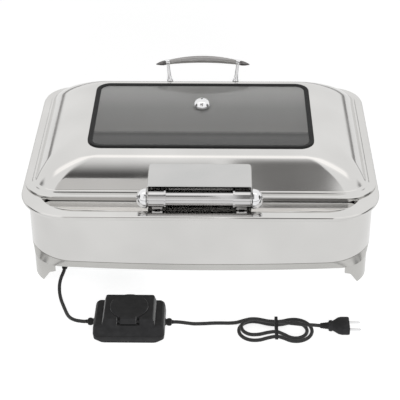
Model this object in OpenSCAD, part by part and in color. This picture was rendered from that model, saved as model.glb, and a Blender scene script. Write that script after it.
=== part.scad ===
// Electric chafing dish: polished casing on four stamped feet, water basin and food pan,
// domed lid with a window on a damped hinge, and a lead with an inline heat controller.
// Millimetres, +Z up. The origin is on the table under the middle of the rim.
// The hinge side is -Y and the handle side is +Y.

/* [Casing] */
// Width of the rim
rim_w = 612; // [604:1:624]
// Depth of the rim, from the hinge side to the handle side
rim_d = 463; // [459:1:475]
// Corner radius of the rim on the hinge side
rim_front_r = 85; // [78:1:92]
// Corner radius of the rim on the handle side
rim_back_r = 57; // [50:1:64]
// Diameter of the bead rolled along the rim
bead_d = 8; // [6:0.5:9]
// Height of the casing wall, from the seam to the deck
wall_h = 106.4; // [104:0.2:116]
// How far the rim stands out from the middle of a side wall
side_overhang = 6; // [5:0.5:9]
// How far the rim stands out from the middle of a long wall
long_overhang = 17.5; // [15:0.5:20]
// Outward bow of a side wall
side_bow = 4; // [2:0.5:6]
// Outward bow of a long wall
long_bow = 13; // [8:0.5:14]
// Corner radius of the walls
wall_r = 78; // [74:1:84]
// Sheet thickness of the casing
sheet = 1.2; // [1:0.1:1.5]
// Flat border between the rim's edge and the hinge ledge
ledge_border = 18.5; // [16:0.5:20]
// Half the length of the hinge ledge
ledge_half_l = 275; // [265:1:280]
// Depth of the hinge ledge below the deck
ledge_drop = 5; // [4:0.5:7]
// Radius of the hinge ledge's ends
ledge_r = 65; // [60:1:70]

/* [Base] */
// Height of the feet
foot_h = 39.5; // [36:0.5:44]
// Reach of a foot from its corner towards the long side
foot_reach = 28; // [26:0.5:32]
// Length of the level edge that a foot stands on, from its corner towards the short side
foot_flat_l = 32; // [26:1:34]
// Height of the step at each end of a foot
foot_step_h = 12; // [10:0.5:14]
// Length of the sloping stretch at each end of a foot
foot_level_l = 10; // [8:0.5:11]
// How far the base is narrower than the walls, at each end
base_narrow = 6.5; // [5:0.5:7]
// Corner radius of the base
base_r = 50; // [48:1:54]
// Sheet thickness of the base frame
frame_t = 1.6; // [1.4:0.1:2]
// Height of the band under the casing
band_h = 12.4; // [11:0.2:15]
// Height of the seam between band and casing
seam_h = 1.2; // [1:0.1:1.6]
// Depth of the seam
seam_depth = 0.7; // [0.5:0.1:0.9]
// Width of the flange that carries the bottom plate
flange_w = 14; // [12:1:18]
// Thickness of the bottom plate
bottom_t = 1.2; // [1:0.1:1.6]

/* [Pans] */
// Width of the food pan over its rim
pan_w = 530; // [524:1:532]
// Depth of the food pan over its rim, front to back
pan_d = 325; // [320:1:327]
// Height of the food pan
pan_h = 65; // [55:1:70]
// Sheet thickness of the pans
pan_t = 0.9; // [0.8:0.1:1.2]
// Width of the food pan's rim
pan_rim = 14; // [12:0.5:16]
// Inward slope of the food pan's walls, over their height
pan_taper = 7; // [5:0.5:9]
// Corner radius of the food pan's mouth
pan_r = 42; // [36:1:48]
// Radius at the foot of the food pan's walls
pan_foot_r = 14; // [10:1:16]
// Height of the water basin
basin_h = 88; // [84:1:92]
// Gap between the food pan's walls and the basin's mouth
basin_gap = 2; // [1.5:0.1:2.4]

/* [Lid] */
// Gap between the lid's edge and the rim's edge, on three sides
lid_inset = 3; // [2:0.5:4]
// Sheet thickness of the lid
lid_t = 1; // [0.8:0.1:1.2]
// Height of the lid's flange above the deck
lid_lip_h = 3.5; // [3:0.1:5]
// Width of the border outside the step pressed into the flange
lid_border = 12; // [10:0.5:14]
// Height of the step pressed into the flange
lid_step_h = 1.5; // [1:0.1:2]
// Width of the whole flange, up to the foot of the dome
lid_flange_w = 27.5; // [25:0.5:29]
// Rise of the dome above the flange
dome_rise = 47; // [44:0.5:50]
// Radius of the dome's shoulder
shoulder_r = 36.6; // [34:0.2:38]
// Radius of the hollow at the foot of the dome
dome_foot_r = 9; // [7:0.5:11]
// Slope of the dome's wall
dome_angle = 65; // [62:1:68]
// Corner radius of the lid's edge
lid_r = 56; // [50:1:60]
// Corner radius of the dome's foot
dome_corner_r = 42; // [38:1:46]

/* [Window] */
// Width of the window over its gasket
win_w = 395; // [380:1:400]
// Depth of the window over its gasket
win_d = 236; // [226:1:238]
// Corner radius of the gasket
win_r = 26; // [22:1:30]
// Width of the gasket
gasket_w = 12; // [11:0.5:14]
// Thickness of the glass
glass_t = 4; // [3:0.5:5]
// Height of the gasket above the lid
gasket_lip = 2.2; // [1.8:0.1:3]
// Depth that the lid's edge sits in the gasket
gasket_grip = 6.5; // [5.5:0.5:6.5]
// Diameter of the steam vent's dome
vent_d = 25.5; // [22:0.5:28]
// Height of the steam vent's dome
vent_h = 14; // [12:0.5:16]
// Distance from the window's middle to the vent, towards the handle
vent_offset = 31; // [20:1:60]

/* [Handle] */
// Length of the handle over its tips
grip_l = 178; // [170:1:190]
// Height of the grip in its middle
grip_h = 13.5; // [12:0.5:16]
// Height of the grip at its collars
grip_end_h = 9; // [8:0.5:10]
// Rise of the grip from its collars to its middle
grip_arch = 5.3; // [4:0.1:6.5]
// Distance between the middles of the two posts' feet
post_pitch = 124; // [116:1:128]
// Outward lean of the posts over their height
post_lean = 4; // [2:0.5:6]
// Height of the posts, from the lid to the grip's collars
post_h = 31.5; // [30:0.5:38]
// Diameter of the posts at their middle
post_d = 7; // [6:0.5:8]
// Diameter of the posts' feet
post_foot_d = 13; // [12:0.5:16]
// Length of the collar at the top of a post
collar_l = 7; // [6:0.5:8]
// Angle of the handle from upright
handle_tilt = 25; // [22:1:30]

/* [Hinge] */
// Distance from the rim's edge to the hinge axis
hinge_setback = 32.5; // [32:0.5:34]
// Height of the hinge axis above the ledge
hinge_rise = 22; // [21:0.5:25]
// Diameter of the axle
axle_d = 10; // [8:0.5:12]
// Diameter of the bearing sleeves
sleeve_d = 30; // [28:0.5:31]
// Diameter of the barrel between the sleeves
barrel_d = 26; // [24:0.5:27]
// Wall of the barrel
barrel_wall = 2; // [1.5:0.1:2.5]
// Half the length of the barrel
barrel_half_l = 56; // [50:1:60]
// Width of the hood over its cheeks
hood_w = 175; // [170:1:184]
// Sheet thickness of the hood
hood_t = 2; // [1.6:0.1:2.4]
// Height of the hood above the hinge axis
hood_rise = 23; // [21:0.5:24]
// Radius of the cheeks' noses round the axle
cheek_r = 13; // [11:0.5:14]
// Diameter of the end caps
cap_d = 34; // [32:0.5:36]
// Length of the end caps
cap_l = 19; // [17:0.5:22]
// Width of the feet under the bearings
bearing_foot_w = 17; // [16:0.5:20]

/* [Controller] */
// Length of the controller
ctl_l = 118; // [114:1:124]
// Depth of the controller, front to back
ctl_d = 81; // [79:1:86]
// Height of the controller
ctl_h = 44; // [42:0.5:48]
// Height of the controller's lower shell
ctl_seam_z = 13; // [12:0.5:15]
// Height of the shoulders at both ends
ctl_shoulder_z = 32; // [30:0.5:33]
// Length of the raised block, at its top
ctl_block_l = 79; // [77:0.5:82]
// Depth of the raised block, at its top
ctl_block_d = 67; // [65.5:0.5:68]
// Wall of both shells
ctl_wall = 2.4; // [2:0.1:3]
// Diameter of the flip cover
cover_d = 63; // [60:0.5:64]
// Thickness of the flip cover
cover_t = 2.5; // [2:0.1:3]
// Width of the flip cover's hinge tongue
tongue_w = 26; // [22:0.5:28]
// Diameter of the temperature dial
dial_d = 40; // [36:0.5:44]
// Height of the temperature dial
dial_h = 9; // [8:0.5:10]

/* [Lead] */
// Diameter of the cord
cord_d = 6; // [6:0.1:6]
// Length of the strain reliefs on the controller
boot_l = 20; // [20:1:24]
// Largest diameter of the strain reliefs
boot_d = 13; // [12:0.5:14]
// Width of the plug
plug_w = 35; // [33:0.5:37]
// Thickness of the plug
plug_t = 17; // [17:0.5:17]
// Length of the plug's body
plug_l = 36; // [33:0.5:40]
// Distance between the plug's pins
pin_pitch = 19; // [18:0.1:20]
// Diameter of the plug's pins
pin_d = 4; // [4:0.1:4.8]
// Length of the plug's pins outside the body
pin_l = 19; // [17:0.5:19]

/* [Hidden] */
$fn = 48;

// Colours
steel = [0.83, 0.83, 0.82];
chrome = [0.9, 0.9, 0.9];
satin = [0.56, 0.56, 0.55];
black = [0.12, 0.12, 0.12];
smoke = [0.4, 0.4, 0.4, 0.45];
alloy = [0.72, 0.73, 0.74];
ceramic = [0.92, 0.9, 0.85];

// Clearances: fixed pieces, pieces on different bodies, and turning fits
seat_gap = 0.3;
move_gap = 0.3;
turn_gap = 0.05;
hole_gap = 0.1;
overlap = 0.5;

// Counts of steps along corners and sides
corner_steps = 9;
side_steps = 8;

// Heights of the casing
rim_hx = rim_w / 2;
rim_hy = rim_d / 2;
band_top = foot_h + band_h;
wall_z = band_top + seam_h;
deck_z = wall_z + wall_h;
ledge_z = deck_z - ledge_drop;
wall_hx = rim_hx - side_overhang - side_bow;
wall_hy = rim_hy - long_overhang - long_bow;
bead_r = bead_d / 2;
rim_flat = bead_d + 4;

// Place of the lid, from the hinge and the rim
hinge_y = hinge_setback - rim_hy;
hinge_z = ledge_z + hinge_rise;
lid_reach = 25;
lid_y0 = hinge_y + lid_reach;
lid_y1 = rim_hy - lid_inset;
lid_hx = rim_hx - lid_inset;
lid_cy = (lid_y0 + lid_y1) / 2;
lid_hy = (lid_y1 - lid_y0) / 2;
lid_edge_r = 1.8;
lid_lip_z = deck_z + move_gap;
flange_z = deck_z + lid_lip_h;
dome_z = flange_z + lid_step_h;
lid_top_z = dome_z + dome_rise;
ledge_back_y = lid_y0 + 6;

// Straight part of the dome's wall, and the dome's run from its foot to the flat top
dome_straight = (dome_rise - (dome_foot_r + shoulder_r) * (1 - cos(dome_angle))) / sin(dome_angle);
dome_run = (dome_foot_r + shoulder_r) * sin(dome_angle) + dome_straight * cos(dome_angle);
dome_margin = 5;
dome_end_margin = 4.783;
win_hx = win_w / 2;
win_hy = win_d / 2;
dome_side_run = lid_hx - lid_flange_w - win_hx - dome_margin;
dome_end_run = lid_hy - lid_flange_w - win_hy - dome_end_margin;
top_hy = win_hy + dome_end_margin;
top_r = win_r + dome_margin;

// How far the dome's section is drawn in at the front and back to leave room for the window
dome_draw = dome_end_run / dome_run;
dome_wall_angle = atan(tan(dome_angle) / dome_draw);
handle_angle = atan(tan(handle_tilt) / dome_draw);

// Functions for outlines, lofts and sweeps

function mix(a, b, f) = a + (b - a) * f;

// Half a cosine wave from 0 to 1
function ease(u) = (1 - cos(180 * max(0, min(1, u)))) / 2;

function corner_arc(cx, cy, r, start, n) =
  [for (i = [0 : n]) [cx + r * cos(start + 90 * i / n), cy + r * sin(start + 90 * i / n)]];

// Rounded outline, counter-clockwise, with one radius on the hinge side and one on the other
function outline(hx, y0, y1, rf, rb, n = corner_steps) = concat(
  corner_arc(hx - rf, y0 + rf, rf, 270, n),
  corner_arc(hx - rb, y1 - rb, rb, 0, n),
  corner_arc(rb - hx, y1 - rb, rb, 90, n),
  corner_arc(rf - hx, y0 + rf, rf, 180, n));

// The same outline with further points along its four sides
function with_sides(points, n, m) = [
  for (i = [0 : len(points) - 1])
    let (last = i % (n + 1) == n, next = points[(i + 1) % len(points)])
    each last ? [for (j = [0 : m - 1]) mix(points[i], next, j / m)] : [points[i]]];

function bowed(points, hx, hy, bow_x, bow_y) = [
  for (p = points) [
    p[0] * (1 + bow_x / hx * (1 - pow(p[1] / hy, 2))),
    p[1] * (1 + bow_y / hy * (1 - pow(p[0] / hx, 2)))]];

function rim_outline(inset) =
  outline(rim_hx - inset, inset - rim_hy, rim_hy - inset, rim_front_r - inset, rim_back_r - inset);

function wall_outline(inset) = wall_shape(wall_hx - inset, wall_hy - inset, wall_r - inset);

function base_outline(inset) =
  wall_shape(wall_hx - base_narrow - inset, wall_hy - inset, base_r - inset);

function wall_shape(hx, hy, r) =
  bowed(with_sides(outline(hx, -hy, hy, r, r), corner_steps, side_steps), hx, hy, side_bow, long_bow);

function lifted(points, z) = [for (p = points) [p[0], p[1], z]];

function unit(v) = v / norm(v);

// Direction of a path at one of its points; both ends take their own stretch
function along(path, i) = unit(path[min(i + 1, len(path) - 1)] - path[max(i - 1, 0)]);

// Rings of a tube round a path that never stands upright
function tube_rings(path, r, sides) = [
  for (i = [0 : len(path) - 1])
    let (t = along(path, i), side = unit(cross([0, 0, 1], t)), up = cross(t, side))
    [for (j = [0 : sides - 1])
      path[i] + r * (cos(360 * j / sides) * side + sin(360 * j / sides) * up)]];

// Solid over rings of equal counts: capped at both ends, or closed on itself
module skin(rings, closed = false) {
  n = len(rings[0]);
  m = len(rings);
  walls = [
    for (i = [0 : closed ? m - 1 : m - 2]) for (j = [0 : n - 1])
      let (a = i * n + j, b = i * n + (j + 1) % n)
      let (c = ((i + 1) % m) * n + (j + 1) % n, d = ((i + 1) % m) * n + j)
      each [[a, d, c], [a, c, b]]];
  caps = closed ? [] : [[for (j = [0 : n - 1]) j], [for (j = [n - 1 : -1 : 0]) (m - 1) * n + j]];
  polyhedron(points = [for (r = rings) each r], faces = concat(walls, caps), convexity = 10);
}

module plate(points, z, h) {
  translate([0, 0, z])
    linear_extrude(h)
      polygon(points);
}

module ring(outer, inner, z, h) {
  translate([0, 0, z])
    linear_extrude(h)
      difference() {
        polygon(outer);
        polygon(inner);
      }
}

// Profile drawn in Y and Z, drawn out along X from x0 to x1
module along_x(x0, x1) {
  translate([x0, 0, 0])
    rotate([90, 0, 90])
      linear_extrude(x1 - x0)
        children();
}

module rod_x(x0, x1, d, y, z) {
  translate([x0, y, z])
    rotate([0, 90, 0])
      cylinder(d = d, h = x1 - x0);
}

// Section swept round a rounded frame: x is 0 at the frame's edge and negative inside
module swept_frame(hx, hy, r) {
  for (i = [0 : 3])
    translate([(i == 0 || i == 3 ? 1 : -1) * (hx - r), (i < 2 ? 1 : -1) * (hy - r), 0])
      rotate([0, 0, 90 * i])
        rotate_extrude(angle = 90)
          translate([r, 0])
            children();
  for (s = [0, 1]) {
    rotate([0, 0, 180 * s])
      translate([hx, hy - r, 0])
        rotate([90, 0, 0])
          linear_extrude(2 * (hy - r))
            children();
    rotate([0, 0, 90 + 180 * s])
      translate([hy, hx - r, 0])
        rotate([90, 0, 0])
          linear_extrude(2 * (hx - r))
            children();
  }
}

// Casing: deck with a rolled rim, ledge for the hinge and walls

// Section of the rolled rim as inset and height, once round the sheet
rim_section = concat(
  [for (a = [270 : -30 : 90]) [bead_r + bead_r * cos(a), deck_z - bead_r + bead_r * sin(a)]],
  [[rim_flat, deck_z], [rim_flat, deck_z - sheet]],
  [for (a = [90 : 30 : 270])
    [bead_r + (bead_r - sheet) * cos(a), deck_z - bead_r + (bead_r - sheet) * sin(a)]]);

module ledge_shape(inset) {
  intersection() {
    polygon(outline(ledge_half_l - inset, ledge_border + inset - rim_hy, 0,
      ledge_r - inset, ledge_r - inset));
    translate([-rim_hx, -rim_hy])
      square([rim_w, rim_hy + ledge_back_y - inset]);
  }
}

module casing() {
  color(steel)
    difference() {
      union() {
        skin([for (s = rim_section) lifted(rim_outline(s[0]), s[1])], closed = true);
        plate(rim_outline(rim_flat - overlap), deck_z - sheet, sheet);
        ring(wall_outline(0), wall_outline(sheet), wall_z, wall_h - sheet / 2);
        translate([0, 0, ledge_z - sheet])
          linear_extrude(ledge_drop + sheet / 2)
            ledge_shape(0);
      }
      translate([0, 0, ledge_z])
        linear_extrude(ledge_drop + sheet)
          ledge_shape(sheet);
      plate(basin_outline(0), deck_z - 2 * sheet, 3 * sheet);
      for (x = bearing_screw_x)
        translate([x, hinge_y, ledge_z - 2 * sheet])
          cylinder(d = screw_d + 2 * hole_gap, h = 3 * sheet);
    }
}

// Base frame: band, shelf and upstand for the casing, flange and feet

foot_t = frame_t + 0.4;
foot_fall = 4.7;
foot_tip_l = 1.6;
foot_slant_l = 16;
upstand_h = 12;
upstand_inset = sheet + seat_gap;
frame_flange_z = foot_h;
bottom_z = frame_flange_z + frame_t;
bottom_inset = frame_t + 3;
screw_d = 4;
screw_head_d = 8;
screw_head_h = 2.4;
screw_inset = bottom_inset + 4;
bottom_screw_x = 150;
bottom_screw_l = 10;

base_hx = wall_hx - base_narrow;
seam_root = frame_t / 2;
bottom_screw_y = wall_hy + long_bow * (1 - pow(bottom_screw_x / base_hx, 2)) - screw_inset;

// Places of the bottom screws: middles of the long sides' thirds and of the short sides
bottom_screw_places = [
  for (s = [-1, 1]) each [
    [-bottom_screw_x, s * bottom_screw_y],
    [bottom_screw_x, s * bottom_screw_y],
    [s * (base_hx + side_bow - screw_inset), 0]]];

// Front of a foot, seen square to its corner, with the long side towards +X
foot_slope_z = foot_h - foot_step_h - foot_fall;
foot_side_l = foot_flat_l + foot_slant_l + foot_level_l;
foot_profile = [
  [foot_reach, foot_h + overlap],
  [-foot_side_l, foot_h + overlap],
  [-foot_side_l, foot_h - foot_step_h],
  [foot_level_l - foot_side_l, foot_slope_z],
  [-foot_flat_l, 0],
  [foot_tip_l, 0],
  [foot_reach - foot_level_l, foot_slope_z],
  [foot_reach, foot_h - foot_step_h]];

module foot(sx, sy) {
  intersection() {
    ring(base_outline(0), base_outline(foot_t), 0, foot_h + overlap);
    translate([sx * (base_hx - base_r), sy * (wall_hy - base_r), 0])
      rotate([0, 0, atan2(sx, -sy)])
        mirror([sx == sy ? 0 : 1, 0, 0])
          rotate([90, 0, 0])
            linear_extrude(3 * base_r)
              polygon(foot_profile);
  }
}

module base_frame() {
  color(steel)
    difference() {
      union() {
        skin([lifted(base_outline(0), foot_h), lifted(base_outline(0), foot_h + overlap),
          lifted(wall_outline(0), band_top), lifted(wall_outline(frame_t), band_top),
          lifted(base_outline(frame_t), foot_h)], closed = true);
        ring(wall_outline(seam_depth), wall_outline(upstand_inset + frame_t),
          band_top - seam_root, seam_h + seam_root);
        ring(wall_outline(upstand_inset), wall_outline(upstand_inset + frame_t),
          band_top, upstand_h);
        ring(base_outline(seam_root), base_outline(flange_w), frame_flange_z, frame_t);
        for (sx = [-1, 1])
          for (sy = [-1, 1])
            foot(sx, sy);
      }
      for (p = bottom_screw_places)
        translate([p[0], p[1], frame_flange_z - frame_t])
          cylinder(d = screw_d + 2 * hole_gap, h = 3 * frame_t);
    }
}

// Bottom plate with vent slots, and the riveted bracket that holds the cord gland below it

tab_inset = 54.5;
tab_setback = 27;
tab_x = tab_inset - base_hx;
tab_y = tab_setback - wall_hy;
tab_w = 30;
tab_t = 2;
gland_z = foot_h - 9;
gland_d = 12;
slot_w = 6;
slot_l = 60;
slot_pitch = 20;
slot_count = 8;
slot_row_y = 80;
lance_l = 47;
bracket_leg = 15;
bracket_peg_d = 4;
bracket_head_d = 7;
bracket_head_h = 1.2;
bracket_peg_x = [tab_x - tab_w / 3, tab_x + tab_w / 3];
bracket_peg_y = tab_y + (tab_t - bracket_leg) / 2;

module bottom_plate() {
  color(alloy)
    difference() {
      plate(base_outline(bottom_inset), bottom_z, bottom_t);
      translate([tab_x - tab_w / 2 - hole_gap, tab_y - hole_gap, bottom_z - bottom_t])
        cube([tab_w + 2 * hole_gap, lance_l + hole_gap, 3 * bottom_t]);
      for (x = bracket_peg_x)
        translate([x, bracket_peg_y, bottom_z - bottom_t])
          cylinder(d = bracket_peg_d + 2 * hole_gap, h = 3 * bottom_t);
      for (i = [0 : slot_count - 1])
        for (s = [-1, 1])
          translate([(i - (slot_count - 1) / 2) * slot_pitch - slot_w / 2,
            s * slot_row_y - slot_l / 2, bottom_z - bottom_t])
            cube([slot_w, slot_l, 3 * bottom_t]);
      for (p = bottom_screw_places)
        translate([p[0], p[1], bottom_z - bottom_t])
          cylinder(d = screw_d + 2 * hole_gap, h = 3 * bottom_t);
      for (x = block_screw_x)
        translate([x, block_y, bottom_z - bottom_t])
          cylinder(d = block_peg_d + 2 * hole_gap, h = 3 * bottom_t);
    }
}

// Angle bracket that hangs through the plate, its leg riveted down on top
module gland_bracket() {
  low_z = gland_z - tab_w / 3;
  leg_z = bottom_z + bottom_t + seat_gap;
  head_z = bottom_z - seat_gap - bracket_head_h;
  color(alloy)
    difference() {
      union() {
        translate([tab_x - tab_w / 2, tab_y, low_z])
          cube([tab_w, tab_t, leg_z + tab_t - low_z]);
        translate([tab_x - tab_w / 2, tab_y + tab_t - bracket_leg, leg_z])
          cube([tab_w, bracket_leg, tab_t]);
        for (x = bracket_peg_x)
          translate([x, bracket_peg_y, head_z]) {
            cylinder(d = bracket_peg_d, h = leg_z + tab_t / 2 - head_z);
            cylinder(d = bracket_head_d, h = bracket_head_h);
          }
      }
      translate([tab_x, tab_y - tab_t, gland_z])
        rotate([-90, 0, 0])
          cylinder(d = gland_d + 2 * hole_gap, h = 3 * tab_t);
    }
}

// Screw pointing up, with its head's seat at the origin
module screw_up(l) {
  cylinder(d = screw_d, h = l);
  translate([0, 0, -screw_head_h])
    cylinder(d = screw_head_d, h = screw_head_h);
}

module bottom_screws() {
  color(alloy)
    for (p = bottom_screw_places)
      translate([p[0], p[1], frame_flange_z])
        screw_up(bottom_screw_l);
}

// Water basin, hung by its flange in the deck

pan_hx = pan_w / 2;
pan_hy = pan_d / 2;
mouth_hx = pan_hx - pan_rim;
mouth_hy = pan_hy - pan_rim;
basin_flange = pan_rim + 3;
basin_foot_r = 18;
basin_turn_r = 3;
pan_turn_r = 4;
pan_least_r = 6;
pan_steps = 7;
basin_z = deck_z - basin_h;
basin_top = deck_z + pan_t;
basin_r = pan_r + basin_gap + pan_t;

// Outside of the basin's walls, with a further inset
function basin_outline(inset) =
  let (grow = basin_gap + basin_turn_r + seat_gap - inset, r = pan_r + grow)
  outline(mouth_hx + grow, lid_cy - mouth_hy - grow, lid_cy + mouth_hy + grow, r, r);

// Section of a pan as inset from its flange's edge and height, from the edge down to the floor
function pan_section(flange, turn_r, taper, foot_r, top, floor_z, t) = concat(
  [[0, top - t], [0, top]],
  [for (a = [90 : -30 : 0])
    [flange + turn_r * (cos(a) - 1), top - turn_r + turn_r * sin(a)]],
  [for (a = [180 : 30 : 270])
    [flange + taper + foot_r + foot_r * cos(a), floor_z + foot_r + foot_r * sin(a)]]);

// Drawn pan: the sheet's top face follows the section, its underside lies one thickness below
module pan_shell(hx, hy, r, section, t) {
  inside = [for (i = [1 : len(section) - 1]) section[i]];
  steps = [for (i = [0 : len(inside) - 1])
    unit(inside[min(i + 1, len(inside) - 1)] - inside[max(i - 1, 0)])];
  below = [for (i = [0 : len(inside) - 1])
    i == 0 ? section[0] : inside[i] + t * [steps[i][1], -steps[i][0]]];
  rings = concat(
    [for (i = [len(below) - 1 : -1 : 0]) below[i]],
    inside);
  skin([for (s = rings)
    let (corner = max(pan_least_r, r - s[0]))
    lifted(outline(hx - s[0], lid_cy - hy + s[0], lid_cy + hy - s[0], corner, corner, pan_steps), s[1])]);
}

module water_basin() {
  color(steel)
    pan_shell(mouth_hx + basin_gap + basin_flange, mouth_hy + basin_gap + basin_flange,
      basin_r + basin_flange,
      pan_section(basin_flange, basin_turn_r, 0, basin_foot_r, basin_top, basin_z, pan_t), pan_t);
}

module food_pan() {
  top = basin_top + move_gap + pan_t;
  color(steel)
    pan_shell(pan_hx, pan_hy, pan_r + pan_rim,
      pan_section(pan_rim, pan_turn_r, pan_taper, pan_foot_r, top, top - pan_h, pan_t), pan_t);
}

// Heating parts between the basin and the bottom plate

heat_hx = 150;
heat_hy = 90;
heat_t = 6;
heat_r = 12;
heat_z = basin_z - pan_t - heat_t;
element_d = 8;
element_pitch = 36;
element_legs = 4;
element_half_l = 110;
element_tail = 30;
element_z = heat_z - seat_gap - element_d / 2;
element_y = [for (i = [0 : element_legs - 1]) lid_cy + (i - (element_legs - 1) / 2) * element_pitch];
element_pin_d = 4;
element_pin_l = 14;
element_end_x = -element_half_l - element_tail - element_pin_l;
clamp_x = [-70, 70];
clamp_w = 10;
clamp_t = 2;
clamp_half_l = 76;
clamp_screw_y = 68;
clamp_z = element_z - element_d / 2 - seat_gap - clamp_t;
clamp_screw_bite = 3;
cutout_d = 16;
cutout_h = 9;

module heating_plate() {
  color(alloy)
    difference() {
      plate(outline(heat_hx, lid_cy - heat_hy, lid_cy + heat_hy, heat_r, heat_r), heat_z, heat_t);
      for (x = clamp_x)
        for (s = [-1, 1])
          translate([x, lid_cy + s * clamp_screw_y, heat_z - 1])
            cylinder(d = screw_d + 2 * hole_gap, h = clamp_screw_bite + 1 + seat_gap);
    }
}

// Sheathed element: straight legs, half-round bends and a terminal pin at each end
module heating_element() {
  bend_r = element_pitch / 2;
  color(satin)
    for (i = [0 : element_legs - 1]) {
      outer = i == 0 || i == element_legs - 1;
      rod_x(-element_half_l - (outer ? element_tail : 0), element_half_l, element_d,
        element_y[i], element_z);
      if (outer)
        rod_x(element_end_x, -element_half_l - element_tail, element_pin_d,
          element_y[i], element_z);
      if (i < element_legs - 1)
        translate([i % 2 == 0 ? element_half_l : -element_half_l,
          element_y[i] + bend_r, element_z])
          rotate([0, 0, i % 2 == 0 ? -90 : 90])
            rotate_extrude(angle = 180)
              translate([bend_r, 0])
                circle(d = element_d);
    }
}

module element_clamps() {
  color(alloy)
    for (x = clamp_x)
      difference() {
        translate([x - clamp_w / 2, lid_cy - clamp_half_l, clamp_z])
          cube([clamp_w, 2 * clamp_half_l, clamp_t]);
        for (s = [-1, 1])
          translate([x, lid_cy + s * clamp_screw_y, clamp_z - clamp_t])
            cylinder(d = screw_d + 2 * hole_gap, h = 3 * clamp_t);
      }
}

module clamp_screws() {
  color(alloy)
    for (x = clamp_x)
      for (s = [-1, 1])
        translate([x, lid_cy + s * clamp_screw_y, clamp_z])
          screw_up(heat_z + clamp_screw_bite - clamp_z);
}

module thermal_cutout() {
  color(black)
    translate([0, lid_cy, heat_z - cutout_h])
      difference() {
        union() {
          cylinder(d = cutout_d, h = cutout_h);
          for (s = [-1, 1])
            translate([s * cutout_d / 2 - 3, -2, 0])
              cube([6, 4, 1]);
        }
        translate([0, 0, -1])
          cylinder(d = cutout_d / 2, h = 3);
      }
}

// Terminal block on the bottom plate, and the cables that run to it

block_aside = 31;
block_behind = 74;
block_x = tab_x + block_aside;
block_y = tab_y + block_behind;
block_w = 44;
block_d = 22;
block_h = 18;
block_z = bottom_z + bottom_t;
block_port_z = block_z + block_h / 2;
block_peg_d = 4;
block_screw_x = [block_x - 17, block_x + 17];
lead_d = 3;
lead_x = [block_x + 9, block_x - 9];
gland_l = 28;
gland_y = tab_y - gland_l + tab_t + 4;
gland_flange_d = 18;

module terminal_block() {
  color(ceramic)
    difference() {
      union() {
        translate([block_x - block_w / 2, block_y - block_d / 2, block_z])
          cube([block_w, block_d, block_h]);
        for (x = block_screw_x)
          translate([x, block_y, bottom_z])
            cylinder(d = block_peg_d, h = bottom_t + 1);
      }
      for (x = lead_x)
        translate([x, block_y, block_port_z + 3])
          cylinder(d = 5, h = block_h);
    }
}

// Bushing through the bracket, with a flange on each side of it
module cord_gland() {
  color(black)
    translate([tab_x, gland_y, gland_z])
      rotate([-90, 0, 0])
        rotate_extrude()
          polygon([
            [0, 0],
            [cord_d / 2 + 1.5, 0],
            [gland_flange_d / 2 - 2, gland_l - tab_t - 9],
            [gland_flange_d / 2, gland_l - tab_t - 7],
            [gland_flange_d / 2, gland_l - tab_t - 4 - seat_gap],
            [gland_d / 2, gland_l - tab_t - 4 - seat_gap],
            [gland_d / 2, gland_l - 4 + seat_gap],
            [gland_flange_d / 2, gland_l - 4 + seat_gap],
            [gland_flange_d / 2, gland_l],
            [0, gland_l]]);
}

module inner_cable() {
  rise = block_port_z - gland_z;
  start = gland_y + gland_l;
  route = [
    [tab_x, start, gland_z],
    [tab_x, start + 6, gland_z],
    [tab_x + 2, start + 14, gland_z + rise * 0.2],
    [tab_x + 7, start + 24, gland_z + rise * 0.6],
    [tab_x + 16, start + 33, gland_z + rise * 0.9],
    [block_x - 4, block_y - block_d / 2 - 14, block_port_z],
    [block_x, block_y - block_d / 2 - 6, block_port_z],
    [block_x, block_y - block_d / 2, block_port_z]];
  color(black)
    skin(tube_rings(route, cord_d / 2, 10));
}

module heater_leads() {
  back = block_y + block_d / 2;
  near = element_y[0];
  far = element_y[element_legs - 1];
  tip = element_end_x;
  drop = element_z - block_port_z;
  color(ceramic) {
    skin(tube_rings([
      [lead_x[0], back, block_port_z],
      [lead_x[0], back + 5, block_port_z],
      [lead_x[0] + 1, near - 30, block_port_z + drop * 0.3],
      [lead_x[0] + 5, near - 14, block_port_z + drop * 0.7],
      [tip - 16, near - 4, block_port_z + drop * 0.95],
      [tip - 6, near, element_z],
      [tip, near, element_z]], lead_d / 2, 6));
    skin(tube_rings([
      [lead_x[1], back, block_port_z],
      [lead_x[1], back + 5, block_port_z],
      [lead_x[1] - 1, near, block_port_z],
      [lead_x[1] - 1, far - 40, block_port_z + drop * 0.2],
      [lead_x[1] + 5, far - 16, block_port_z + drop * 0.6],
      [tip - 20, far - 4, block_port_z + drop * 0.95],
      [tip - 6, far, element_z],
      [tip, far, element_z]], lead_d / 2, 6));
  }
}

// Lid: one drawn sheet from the lip round the rim to the edge of the window

fillet_steps = 3;
shoulder_steps = 5;

// Outside of the lid as inset, height, share of the dome's run and corner radius
lid_section = concat(
  [for (p = [[0, lid_lip_z], [0, flange_z - lid_edge_r], [lid_edge_r * 0.3, flange_z - lid_edge_r * 0.3],
    [lid_edge_r, flange_z], [lid_border, flange_z], [lid_border + lid_step_h, dome_z]])
    [p[0], p[1], 0, lid_r - p[0]]],
  [for (i = [0 : fillet_steps])
    let (a = dome_angle * i / fillet_steps)
    dome_point(dome_foot_r * sin(a), dome_foot_r * (1 - cos(a)))],
  [for (i = [0 : shoulder_steps])
    let (a = dome_angle * (1 - i / shoulder_steps))
    dome_point(dome_run - shoulder_r * sin(a), dome_rise - shoulder_r * (1 - cos(a)))]);

function dome_point(run, rise) =
  [lid_flange_w + run * dome_draw, dome_z + rise, run / dome_run, mix(dome_corner_r, top_r, run / dome_run)];

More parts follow.
